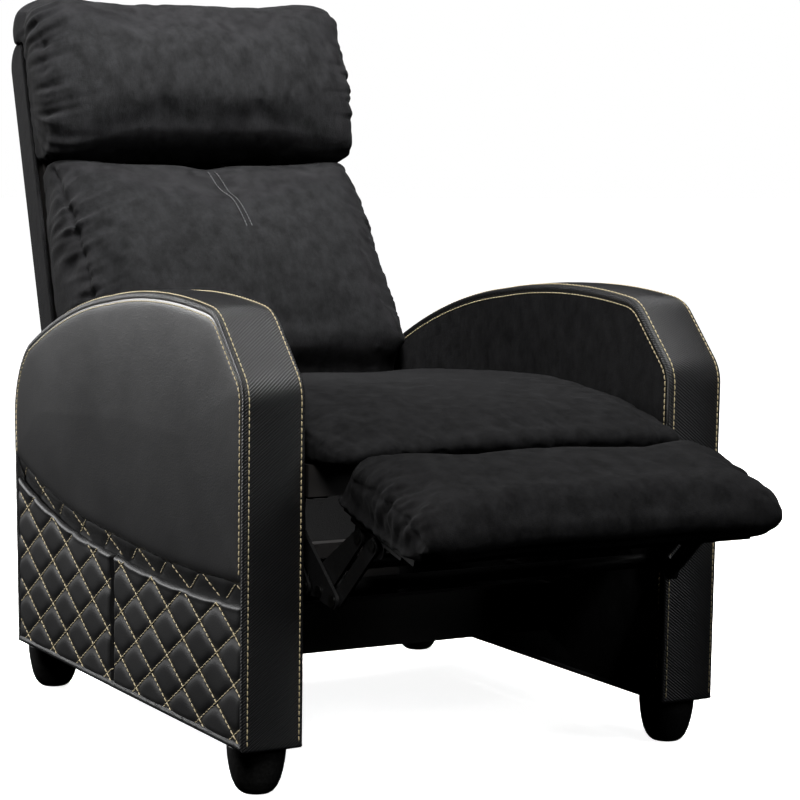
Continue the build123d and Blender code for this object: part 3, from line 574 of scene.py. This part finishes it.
# the section carried along the outline: each point is the outline plus its normal times the section's height
def makeBand(side, name, s):
    half = np.array(s["section"]) * 0.001
    section = np.concatenate([half, half[-2::-1] * (-1, 1)])
    section = np.concatenate([section, [[0, s["under"] * 0.001]], section[:1]])
    finer = np.linspace(0, len(section) - 1, (len(section) - 1) * 2 + 1)
    fine, fineOut = (np.interp(finer, np.arange(len(section)), section[:, i]) for i in (0, 1))
    path = evenly(np.concatenate([upperOutline, upperOutline[:1]]), s["steps"])
    normals = curveNormals(path)
    # the two bottom corners and the closing point share the mean of their neighbours' normals
    normals[0] = normals[-1] = unit(normals[1] + normals[-2])
    flat = path[:, None] + normals[:, None] * fineOut[None, :, None]
    flat[..., 1] = np.maximum(flat[..., 1], armShape["bottom"] + 0.0002)
    grid = placed(flat, side * s["middle"] + fine[None])
    run = np.linspace(0, lengths(path)[-1], len(path))[:, None] * np.ones(len(fine))
    around = lengths(np.stack([fine, fineOut], -1))[None] * np.ones((len(path), 1))
    band = gridPiece(f"armBand_{name}", grid, ribbedLeather, uv=np.stack([run, around * side], -1))
    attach(band, "base")
    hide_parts(f"arm_band_{name}")
    for edge, label in ((1, "outer"), (-1, "inner")):
        x = side * (s["middle"] + edge * (s["half"] - s["rowInset"]))
        keep = slice(4, -4)
        curve = upperOutline[keep] + outlineNormals[keep] * s["rowLift"]
        normals = np.concatenate([np.zeros((len(curve), 1)), outlineNormals[keep]], 1)
        row = stitchRow(f"bandStitches_{label}_{name}", placed(curve, x), normals, *goldStitch, goldThread)
        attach(row, "base")


for side, name in sides:
    makeBand(side, name, bandShape)
print("arm bands made")


# arm panels

panelShape = {"inset": 0.0030, "rowInset": 0.0112, "rowLift": 0.0005, "rowEnd": 0.008, "fill": 0.5}
upperPanelShape = {**panelShape, "edge": 0.3352, "rise": 0.0048, "soft": 0.0042, "puff": 0.0042,
                   "reach": 0.10, "grid": (230, 110), "wall": 0.005}
innerPanelShape = {**panelShape, "edge": 0.2625, "rise": 0.0042, "soft": 0.0045, "puff": 0.0022,
                   "reach": 0.08, "grid": (150, 100), "wall": 0.0025, "low": 0.0035}


# the inset outline in three parts, front, crest and rear, cut off at a lower edge
def splitOutline(inset, low):
    curve = insetOutline(inset)
    top = np.argmax(curve[:, 1])
    kneeIndex = np.argmax(curve[:, 1] > armPoint(armShape["knee"])[1] - 0.012)
    heelIndex = top + np.argmax(curve[top:, 1] < armPoint(armShape["rear"][1])[1])
    front, crest, rear = curve[:kneeIndex + 1], curve[kneeIndex:heelIndex + 1], curve[heelIndex:]
    front = np.concatenate([[[front[0, 0], low(front[0, 0])]], front[front[:, 1] > low(front[:, 0])]])
    rear = rear[rear[:, 1] > low(rear[:, 0])]
    rear = np.concatenate([rear, [[rear[-1, 0], low(rear[-1, 0])]]])
    return front, crest, rear[::-1]


# a panel's distance from the middle: it rises from its sewn edge by an exponential of the distance to it
def panelHeight(distance, s):
    return s["rise"] * (1 - np.exp(-distance / s["soft"])) + s["puff"] * (1 - np.exp(-distance / s["reach"]))


# a Coons patch between the outline and its lower edge, raised by the panel's height, with a row of stitches
def makePanel(side, name, label, s, low, outwards, material, node):
    front, crest, rear = splitOutline(s["inset"], low)
    columns, rows = s["grid"]
    depths = np.linspace(front[0, 0], rear[0, 0], columns)
    bottom = np.stack([depths, low(depths)], -1)
    flat = coonsPatch(bottom, evenly(crest, columns), evenly(front, rows), evenly(rear, rows))
    border = np.concatenate([evenly(bottom, 500), evenly(front, 260), evenly(crest, 500), evenly(rear, 260)])
    distance, _ = distanceTo(flat.reshape(-1, 2), border)
    x = s["edge"] + outwards * panelHeight(distance.reshape(flat.shape[:2]), s)
    piece = gridPiece(f"{label}_{name}", placed(flat, side * x), material, outward=(side * outwards, 0, 0))
    thicken(piece, s["wall"])
    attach(piece, "base")
    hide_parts(f"{node}_{name}")
    curve = insetOutline(s["rowInset"])
    curve = curve[curve[:, 1] > low(curve[:, 0]) + s["rowEnd"]]
    height = s["edge"] + outwards * (panelHeight(s["rowInset"] - s["inset"], s) + s["rowLift"])
    normals = np.zeros((len(curve), 3)) + (side * outwards, 0, 0)
    row = stitchRow(f"{label}Stitches_{name}", placed(curve, side * height), normals, *goldStitch, goldThread)
    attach(row, "base")


# lower edge of the inner panel
def innerLow(depth):
    return armShape["bottom"] + innerPanelShape["low"] + 0 * depth


for side, name in sides:
    makePanel(side, name, "armUpperPanel", upperPanelShape, seamHeight, 1, smoothLeather, "arm_outer_panel")
    makePanel(side, name, "armInnerPanel", innerPanelShape, innerLow, -1, velvet, "arm_inner_panel")
print("arm panels made")


# quilting and pockets

quilt = {"width": 0.095, "height": 0.0605, "crossing": (0.218, 0.1968), "puff": 0.0030, "soft": 0.3,
         "power": 1.4, "stitch": (0.0088, 0.0078, 0.00085), "lift": 0.0006, "top": 0.36, "lines": (-8, 16),
         "clear": 0.004, "probe": 0.002}
pocketShape = {"hem": 0.026, "split": 0.390, "gap": 0.0012, "skin": 0.3368, "edge": 0.3315, "roll": 0.0045,
               "soft": 0.005, "grid": 0.0018, "wall": 0.0025, "rim": 0.002, "stitchEnd": 0.003, "fill": 0.5}
lowerShape = {"hemSide": 0.3285, "seamSide": 0.3345, "grid": 0.0026, "wall": 0.003, "puff": 0.6,
              "lap": 0.004, "fill": 0.4}
panelFront, panelRear, quiltTall, rearGap = 0.0035, 0.735, 0.2, 0.0035
skinLow = armShape["bottom"] + pocketShape["rim"]


# the quilt's two families of lines lie where across plus up and across less up are whole numbers, and
# between them it swells by one minus an exponential of the product of their sines
def quiltSwell(depth, height):
    across = (depth - quilt["crossing"][0]) / quilt["width"]
    up = (height - quilt["crossing"][1]) / quilt["height"]
    cut = np.abs(np.sin(np.pi * (across + up)) * np.sin(np.pi * (across - up)))
    return quilt["puff"] * (1 - np.exp(-(cut / quilt["soft"]) ** quilt["power"]))


# a pocket's skin: a smooth step out from its sewn sides, the quilt's swell, and a rolled hem
def pocketSurface(depth, height, low, high):
    s = pocketShape
    hem = seamHeight(depth) - s["hem"] - height
    sewn = np.minimum(np.minimum(depth - low, high - depth), height - skinLow)
    body = smoothStep(sewn / s["soft"])
    lip = 1 - np.clip(hem / s["roll"], 0, 1)
    swell = quiltSwell(depth, height) * smoothStep(sewn / 0.012) * smoothStep((hem + 0.004) / 0.012)
    x = s["edge"] + (s["skin"] - s["edge"]) * body + swell
    return x + 0.0012 * np.exp(-((hem - 0.004) / 0.003) ** 2) * body - 0.0035 * lip**2 * body


# the panel behind the pockets steps out from the hem to the seam, with a flatter quilt
def lowerSurface(depth, height):
    s = lowerShape
    rise = smoothStep((height - seamHeight(depth) + pocketShape["hem"]) / pocketShape["hem"])
    return s["hemSide"] + (s["seamSide"] - s["hemSide"]) * rise + quiltSwell(depth, height) * s["puff"]


# stitches at equal steps of height along both families of lines, laid on a surface
def quiltStitches(name, side, surface, low, high, bottom, top):
    pitch, length, radius = quilt["stitch"]
    slope = math.hypot(quilt["width"], quilt["height"])
    heights = np.arange(armShape["bottom"], quilt["top"], pitch * quilt["height"] / slope)
    number, height = np.meshgrid(np.arange(*quilt["lines"]), heights, indexing="ij")
    found = []
    for sign in (1, -1):
        run = number - sign * (height - quilt["crossing"][1]) / quilt["height"]
        depth = quilt["crossing"][0] + quilt["width"] * run
        keep = (depth > low + quilt["clear"]) & (depth < high - quilt["clear"])
        keep &= (height > bottom(depth)) & (height < top(depth))
        d, h = depth[keep], height[keep]
        step = np.array((-sign * quilt["width"], quilt["height"])) / slope * quilt["probe"]
        x0, x1 = surface(d - step[0], h - step[1]), surface(d + step[0], h + step[1])
        centres = placed(np.stack([d, h], -1), side * ((x0 + x1) / 2 + quilt["lift"]))
        along = [side * (x1 - x0), np.full(len(d), 2 * step[0]), np.full(len(d), 2 * step[1])]
        found.append((centres, np.stack(along, -1)))
    centres, along = (np.concatenate([f[i] for f in found]) for i in (0, 1))
    normals = np.zeros_like(centres) + (side, 0, 0)
    row = stitchPiece(name, centres, along, normals, length, radius, goldThread)
    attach(row, "base")


# a quilted skin on a grid of depths and heights
def makeSkin(side, name, label, node, s, depth, height, x):
    flat = np.stack([depth, height], -1)
    piece = gridPiece(f"{label}_{name}", placed(flat, side * x), quiltLeather, outward=(side, 0, 0))
    thicken(piece, s["wall"])
    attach(piece, "base")
    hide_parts(f"{node}_{name}")


# depths and heights of a skin's grid, from the bottom up to the seam plus a rise, and back to the arm's rear
# edge if the skin ends there
def skinGrid(low, high, columns, step, rise, toRear):
    u, v = np.linspace(0, 1, columns)[:, None], np.linspace(0, 1, int(quiltTall / step))[None]
    depth = low + u * (high - low) + 0 * v
    if toRear:
        height = skinLow + v * (seamHeight(depth) + rise - skinLow)
        depth = low + u * (rearDepth(height) - rearGap - low)
    return depth, skinLow + v * (seamHeight(depth) + rise - skinLow)


def makePocket(side, name, label, node, low, high):
    s = pocketShape
    columns = int((high - low) / s["grid"])
    depth, height = skinGrid(low, high, columns, s["grid"], -s["hem"], high == panelRear)
    x = pocketSurface(depth, height, low, np.broadcast_to(depth[-1], depth.shape))
    makeSkin(side, name, label, node, s, depth, height, x)
    last = float(depth[-1].min())
    quiltStitches(f"{label}Stitches_{name}", side, lambda d, h: pocketSurface(d, h, low, last), low, last,
                  lambda d: skinLow + s["stitchEnd"], lambda d: seamHeight(d) - s["hem"] - s["stitchEnd"])


def makeLowerPanel(side, name):
    s = lowerShape
    columns = int(panelRear / s["grid"])
    depth, height = skinGrid(panelFront, panelRear, columns, s["grid"], s["lap"], True)
    makeSkin(side, name, "armLowerPanel", "arm_lower_panel", s, depth, height, lowerSurface(depth, height))
    quiltStitches(f"armLowerStitches_{name}", side, lowerSurface, panelFront, panelRear + 0.002,
                  lambda d: seamHeight(d) - pocketShape["hem"] + 0.002, lambda d: seamHeight(d) - 0.001)


for side, name in sides:
    makeLowerPanel(side, name)
    split, gap = pocketShape["split"], pocketShape["gap"]
    makePocket(side, name, "frontPocket", "front_pocket", panelFront, split - gap)
    makePocket(side, name, "rearPocket", "rear_pocket", split + gap, panelRear)
print("quilting made")


# cushions

# a frame: its origin in depth and height, and its directions along and out in degrees
# seam: in that frame, for the left side; ruffles: the gathers' heights, right and left
# gathers: their reach, pitch and fan; cap: how far the cloth may move a point
backHinge, padBoard = ((0.690, 0.330), 73, 163), ((-0.038, 0.361), 194, 104)
cushions = {
    "seatCushion": {
        "node": "seat_cushion", "body": "seat", "fill": 0.8, "frame": ((0, 0), 0, 90), "voxel": 0.007,
        "inset": 0.007, "cap": 0.003, "sewn": (0.3976, 0.012), "lumps": (0.0022, 0.34, 3),
        "seam": ((0.247, 0.58, 0.425), (0.247, 0.40, 0.449), (0.247, 0.18, 0.453), (0.247, 0.05, 0.432),
                 (0.245, -0.04, 0.415)),
        "groove": (0.002, 0.004), "ruffles": (0.0018, 0.0018), "gathers": (0.03, 0.045, 0.15),
        "seeds": (5, 6), "lip": ((-0.24, -0.05, 0.404), (0.24, -0.05, 0.404)),
        "lipGathers": (0.003, 0.035, 0.045, 9, 0.5), "sole": 0.3975, "half": 0.2560, "sink": 0.009,
        "sinkOver": (0.04, 0.3),
    },
    "backCushion": {
        "node": "back_cushion", "body": "backrest", "fill": 0.8, "frame": backHinge, "voxel": 0.007,
        "inset": 0.007, "cap": 0.008, "sewn": (-0.062, 0.012), "lumps": (0.0022, 0.30, 13),
        "seam": ((0.242, 0.11, 0.072), (0.242, 0.165, 0.080), (0.243, 0.27, 0.052), (0.243, 0.345, 0.023),
                 (0.241, 0.412, -0.022)),
        "groove": (0.006, 0.006), "ruffles": (0.0046, 0.0024), "gathers": (0.024, 0.034, 0.3),
        "seeds": (15, 16), "notch": ((0.0045, 0.006), (0.008, 0.035)), "notchFrom": (0.30, 0.10),
        "middleSeam": ((0, 0.436, -0.03), (0, 0.428, -0.004), (0, 0.410, 0.020), (0.002, 0.376, 0.042),
                       (0.006, 0.338, 0.062), (0.009, 0.300, 0.075)),
        "push": 0.009, "pushFrom": (0.36, 0.06), "clear": (-0.06, 0.02),
        "stitch": (0.0058, 0.0046, 0.0006), "rowApart": 0.0042, "rowLift": 0.0014, "rowStart": 40,
    },
    "headrestPillow": {
        "node": "headrest", "body": "backrest", "fill": 0.85, "frame": backHinge, "voxel": 0.006,
        "inset": 0.007, "cap": 0.008, "sewn": (-0.062, 0.012), "lumps": (0.0010, 0.28, 23),
        "seam": ((0.242, 0.455, -0.026), (0.243, 0.49, 0.0), (0.244, 0.54, 0.007), (0.244, 0.60, 0.002),
                 (0.242, 0.664, -0.026)),
        "groove": (0.006, 0.006), "ruffles": (0.0042, 0.0028), "gathers": (0.026, 0.034, 0.3),
        "seeds": (25, 26), "sag": 0.005, "sagFrom": (0.48, 0.03), "clear": (-0.06, 0.02),
        "rise": 0.0085, "riseFrom": (0.60, 0.06), "lowEnd": (-0.235, 0.05),
    },
    "footrestPad": {
        "node": "footrest_pad", "body": "footrest", "fill": 0.75, "frame": padBoard, "voxel": 0.005,
        "inset": 0.006, "cap": 0.007, "sewn": (0.0, 0.010), "lumps": (0.0018, 0.26, 33),
        "seam": ((0.246, 0.02, 0.035), (0.247, 0.10, 0.046), (0.247, 0.17, 0.043), (0.243, 0.212, 0.026)),
        "groove": (0.003, 0.004), "ruffles": (0.0032, 0.0032), "gathers": (0.026, 0.034, 0.4),
        "seeds": (35, 36),
    },
}
clothFrames = 20
clothSettings = {"vertex_group_mass": "sewn", "quality": 4, "mass": 0.35, "tension_stiffness": 12,
                 "compression_stiffness": 12, "shear_stiffness": 6, "bending_stiffness": 0.35,
                 "use_pressure": True, "uniform_pressure_force": 4.0, "shrink_min": -0.03}


# a frame's origin, and the cosine and sine of its two directions
def frameAxes(place):
    (depth, height), *turns = place
    turns = np.radians(turns)
    return np.array((depth - frameMiddle, height)), np.stack([np.cos(turns), np.sin(turns)], -1)


# x, and the distances along and out from a frame's origin
def intoFrame(points, place):
    origin, axes = frameAxes(place)
    return np.concatenate([points[..., :1], (points[..., 1:] - origin) @ axes.T], -1)


# the same back: the origin plus each distance times its direction
def fromFrame(local, place):
    origin, axes = frameAxes(place)
    return np.concatenate([local[..., :1], local[..., 1:] @ axes + origin], -1)


def meshArrays(mesh):
    points, normals = np.zeros(len(mesh.vertices) * 3), np.zeros(len(mesh.vertices) * 3)
    mesh.vertices.foreach_get("co", points)
    mesh.vertices.foreach_get("normal", normals)
    return points.reshape(-1, 3), normals.reshape(-1, 3)


def setPoints(mesh, points):
    mesh.vertices.foreach_set("co", points.astype(np.float32).ravel())
    mesh.update()


# a piece's mesh as its modifiers leave it, which are then taken off
def apply(piece):
    bpy.context.view_layer.update()
    piece.data = bpy.data.meshes.new_from_object(piece.evaluated_get(bpy.context.evaluated_depsgraph_get()))
    piece.modifiers.clear()


# cloth under pressure, held by the pins and stepped through its frames
def inflate(piece, pins):
    group = piece.vertex_groups.new(name="sewn")
    order = np.round(pins, 1)
    for weight in np.unique(order):
        group.add(np.nonzero(order == weight)[0].tolist(), float(weight), "REPLACE")
    cloth = piece.modifiers.new("stuffing", "CLOTH")
    for setting, value in clothSettings.items():
        setattr(cloth.settings, setting, value)
    cloth.settings.effector_weights.gravity = 0
    cloth.collision_settings.use_collision = False
    cloth.point_cache.frame_start, cloth.point_cache.frame_end = 1, clothFrames
    for step in range(1, clothFrames + 1):
        bpy.context.scene.frame_set(step)
    apply(piece)
    piece.vertex_groups.clear()
    bpy.context.scene.frame_set(1)


# the solid's skin, remeshed, drawn in and blown up again as cloth, no point further than the cap
def blowUp(name, s):
    piece = finishMesh(name, nodes[s["node"]].data.copy(), velvet, merge=0.00001)
    remesh = piece.modifiers.new("even", "REMESH")
    remesh.mode, remesh.voxel_size, remesh.use_smooth_shade = "VOXEL", s["voxel"], True
    apply(piece)
    start, normals = meshArrays(piece.data)
    sewn, reach = s["sewn"]
    pins = np.clip(1 - (intoFrame(start, s["frame"])[:, 2] - sewn) / reach, 0, 1)
    setPoints(piece.data, start - normals * s["inset"] * (1 - pins[:, None]))
    inflate(piece, pins)
    moved = meshArrays(piece.data)[0] - start
    length = np.linalg.norm(moved, axis=1, keepdims=True) + 1e-9
    setPoints(piece.data, start + moved * np.minimum(1, s["cap"] / length))
    piece.data.materials.clear()
    piece.data.materials.append(velvet)
    even = piece.modifiers.new("even", "SMOOTH")
    even.factor, even.iterations = 0.5, 6
    fine = piece.modifiers.new("fine", "SUBSURF")
    fine.levels = fine.render_levels = 1
    apply(piece)
    piece.data.shade_smooth()
    print(name, "blown up:", len(piece.data.vertices), "points")
    return piece


# waves along a seam: a sum of sines of the length along it, which fade with the distance from it
def gathers(points, seam, amplitude, reach, pitch, seed, fan):
    distance, nearest = distanceTo(points, seam)
    run = lengths(seam)[nearest]
    draw = np.random.default_rng(seed)
    total = np.zeros(len(points))
    for octave in (1.0, 1.7, 2.6):
        phase, skew = draw.uniform(0, 2 * np.pi), draw.uniform(-fan, fan)
        total += np.sin(2 * np.pi * (run + skew * distance) * octave / pitch + phase) / octave
    loud = 0.5 + 0.5 * np.sin(2 * np.pi * run / (pitch * 4.3) + draw.uniform(0, 6))
    fade = np.exp(-distance / reach) * smoothStep(distance / (reach * 0.15))
    return amplitude * total * (0.35 + 0.65 * loud) * fade


# a groove along a seam: minus its depth times an exponential of the squared distance
def groove(points, seam, depth, width):
    distance, _ = distanceTo(points, seam)
    return -depth * np.exp(-(distance / width) ** 2)


# slow unevenness of the stuffing: a sum of sines along directions drawn at random
def lumps(points, amplitude, size, seed):
    draw = np.random.default_rng(seed)
    total = np.zeros(len(points))
    for _ in range(6):
        direction = unit(draw.normal(size=3)) / size * draw.uniform(0.6, 1.6)
        total += np.sin(points @ direction * 2 * np.pi + draw.uniform(0, 6)) / 3
    return amplitude * total


# a seam of many points, from a few in a frame
def seamLine(local, place, count=200):
    return fromFrame(evenly(np.array(local, float), count), place)


# lumps all over, and a groove with gathers along the seam at each side
def coverHeights(points, s):
    heights = lumps(points, *s["lumps"])
    reach, pitch, fan = s["gathers"]
    for end, ruffle, seed in zip((-1, 1), s["ruffles"], s["seeds"]):
        seam = seamLine(np.array(s["seam"]) * (end, 1, 1), s["frame"])
        heights += groove(points, seam, *s["groove"]) + gathers(points, seam, ruffle, reach, pitch, seed, fan)
    return heights


# a blown up cushion with its points moved along their normals by the cover's heights and what more is given
def makeCushion(name, more=None):
    s = cushions[name]
    piece = blowUp(name, s)
    points, normals = meshArrays(piece.data)
    heights = coverHeights(points, s)
    if more:
        heights += more(points, s)
    setPoints(piece.data, points + normals * heights[:, None])
    points, _ = meshArrays(piece.data)
    return piece, s, points, intoFrame(points, s["frame"])


def settle(piece, s):
    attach(piece, s["body"])
    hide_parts(s["node"])


# a curve laid on the nearest places of a piece's surface, with the normals there
def laidOn(piece, curve, lift):
    work = bmesh.new()
    work.from_mesh(piece.data)
    tree = BVHTree.FromBMesh(work)
    work.free()
    found = [tree.find_nearest(Vector(point)) for point in curve]
    points, normals = (np.array([entry[i] for entry in found]) for i in (0, 1))
    return points + normals * lift, normals


# a curve evened by the mean of its neighbours, its two ends repeated
def evened(curve, reach=12):
    padded = np.concatenate([np.repeat(curve[:1], reach, 0), curve, np.repeat(curve[-1:], reach, 0)])
    width = 2 * reach + 1
    return np.stack([np.convolve(padded[:, i], np.ones(width) / width, "valid") for i in range(3)], -1)


# two rows of stitches along a seam, at a distance on either side of it
def twinRows(piece, name, s, seam, thread):
    _, normals = laidOn(piece, seam, 0)
    across = unit(np.cross(normals, np.gradient(seam, axis=0)))
    for end, label in ((-1, "right"), (1, "left")):
        curve, normals = laidOn(piece, seam + across * end * s["rowApart"], s["rowLift"])
        row = stitchRow(f"{name}_{label}", evened(curve), evened(normals), *s["stitch"], thread)
        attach(row, s["body"])


# gathers along the seat's front lip
def lipHeights(points, s):
    return gathers(points, seamLine(s["lip"], s["frame"]), *s["lipGathers"])


# a notch along the back cushion's middle seam, which fades downwards
def notchHeights(points, s):
    seam = seamLine(s["middleSeam"], s["frame"])
    reachDown = stepFrom(intoFrame(points, s["frame"])[:, 1], s["notchFrom"])
    return sum(groove(points, seam, *cut) * reachDown for cut in s["notch"])


blown = 1.0  # some corrections are for the blown up shape alone

# the seat is sunk towards the back, and kept clear of the arms and the springs
seatCushion, s, points, local = makeCushion("seatCushion", lipHeights)
rise = np.clip((points[:, 2] - s["sole"]) / s["sinkOver"][0], 0, 1)
points[:, 2] -= blown * s["sink"] * rise * smoothStep(local[:, 1] / s["sinkOver"][1])
points[:, 0] = np.clip(points[:, 0], -s["half"], s["half"])
points[:, 2] = np.maximum(points[:, 2], s["sole"])
setPoints(seatCushion.data, points)
settle(seatCushion, s)

# the back cushion's upper roll is pushed up against the pillow
backCushion, s, points, local = makeCushion("backCushion", notchHeights)
local[:, 1] += s["push"] * stepFrom(local[:, 1], s["pushFrom"]) * stepFrom(local[:, 2], s["clear"])
setPoints(backCushion.data, fromFrame(local, s["frame"]))
middleSeam = seamLine(s["middleSeam"], s["frame"])[s["rowStart"]:]
twinRows(backCushion, "backSeamStitches", s, middleSeam, greyThread)
settle(backCushion, s)

# the pillow's sole sags onto the back cushion, and its top is filled out but at its right end
headrestPillow, s, points, local = makeCushion("headrestPillow")
filled = stepFrom(local[:, 1], s["riseFrom"]) * (1.3 * stepFrom(local[:, 0], s["lowEnd"]) - 0.3)
sagged = smoothStep((s["sagFrom"][0] - local[:, 1]) / s["sagFrom"][1]) * stepFrom(local[:, 2], s["clear"])
local[:, 1] += blown * s["rise"] * filled - s["sag"] * sagged
setPoints(headrestPillow.data, fromFrame(local, s["frame"]))
settle(headrestPillow, s)

footrestPad, s, _, _ = makeCushion("footrestPad")
settle(footrestPad, s)
print("cushions made")


# feet

footShape = {"x": 0.299, "depths": (0.044, 0.692), "sides": 48, "rings": 60, "merge": 0.0001,
             # radius and height, in millimetres
             "profile": ((0.0, 0.0), (13.0, 0.0), (17.5, 0.9), (21.5, 3.6), (25.5, 8.6), (29.3, 17.0),
                         (32.3, 28.0), (34.6, 41.0), (35.7, 52.0), (35.9, 57.5), (35.2, 60.2), (0.0, 60.2))}


# a profile turned about the foot's axis: radius times cosine and sine of the turn
def makeFeet(s):
    radius, height = evenly(np.array(s["profile"]) * 0.001, s["rings"]).T[..., None]
    turn = np.linspace(0, 2 * np.pi, s["sides"] + 1)
    one = np.stack([radius * np.cos(turn), radius * np.sin(turn), height + 0 * turn], -1)
    places = [(x, depth - frameMiddle, 0) for x in (-s["x"], s["x"]) for depth in s["depths"]]
    for number, place in enumerate(places):
        foot = gridPiece(f"foot{number}", one + place, plain["foot_plastic"], merge=s["merge"])
        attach(foot, "base")
        if number == 0:
            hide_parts("feet")


makeFeet(footShape)


# back shell

shellShape = {"half": 0.252, "low": 0.030, "top": 0.630, "rear": -0.124, "front": -0.066, "corner": 0.034,
              "edge": 0.014, "wall": 0.005, "puff": 0.004, "fill": 0.3}


# a U shaped section carried up the back, drawn in to nothing over the rounded top
def makeShell(s):
    straight = np.linspace(s["low"], s["top"] - s["corner"], 90)
    turn = np.linspace(0, np.pi / 2, 16)[1:]
    rounded = s["top"] - s["corner"] + s["corner"] * np.sin(turn)
    rearRounded = s["rear"] + s["corner"] * (1 - np.cos(turn))
    flatTop = np.linspace(rearRounded[-1], s["front"], 12)[1:]
    along = np.r_[straight, rounded, np.full(len(flatTop), s["top"])]
    rear = np.r_[np.full(len(straight), s["rear"]), rearRounded, flatTop]
    depth = s["front"] - rear
    # the section, as x, share of the depth and lift: a side, a corner, the rear, and the same mirrored
    flatHalf = s["half"] - s["edge"]
    half = [(s["half"], share, 0) for share in np.linspace(1, 0, 14)[:-1]]
    for bend in np.linspace(0, np.pi / 2, 9):
        half.append((flatHalf + s["edge"] * np.cos(bend), 0, -s["edge"] * np.sin(bend)))
    middle = [(x, 0, -s["edge"]) for x in np.linspace(flatHalf, -flatHalf, 110)[1:-1]]
    x, share, lift = np.concatenate([half, middle, half[::-1] * np.array((-1, 1, 1))]).T
    room = np.clip(depth / s["edge"], 0, 1)[:, None]
    out = rear[:, None] + (depth[:, None] - s["edge"] * room) * share[None] + (s["edge"] + lift[None]) * room
    # the rear swells a little, as a cloth over a board with wadding does
    u = np.clip((along - s["low"]) / (s["top"] - s["low"]), 0.02, 0.98)[:, None]
    swell = s["puff"] * (1 - (x[None] / s["half"]) ** 4) * np.sin(np.pi * u) ** 0.4
    out = out - swell * (share[None] == 0) * room
    grid = np.stack([*np.broadcast_arrays(x[None], along[:, None], out)], -1)
    shell = gridPiece("backShell", fromFrame(grid, backHinge), velvet, outward=(0, 1, 0))
    thicken(shell, s["wall"])
    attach(shell, "backrest")
    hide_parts("back_shell")


makeShell(shellShape)
print("shell and feet made")


# finishes of the carried over nodes

slotFinish = {**plain, "ribbed_leather": ribbedLeather, "smooth_leather": smoothLeather,
              "quilted_leather": quiltLeather, "velvet": velvet, "shell_velvet": velvet}
for entry in frame["record"]["subparts"]:
    node = nodes[entry["node"]]
    node.data.materials.clear()
    node.data.materials.append(slotFinish[entry["material_slot"]])
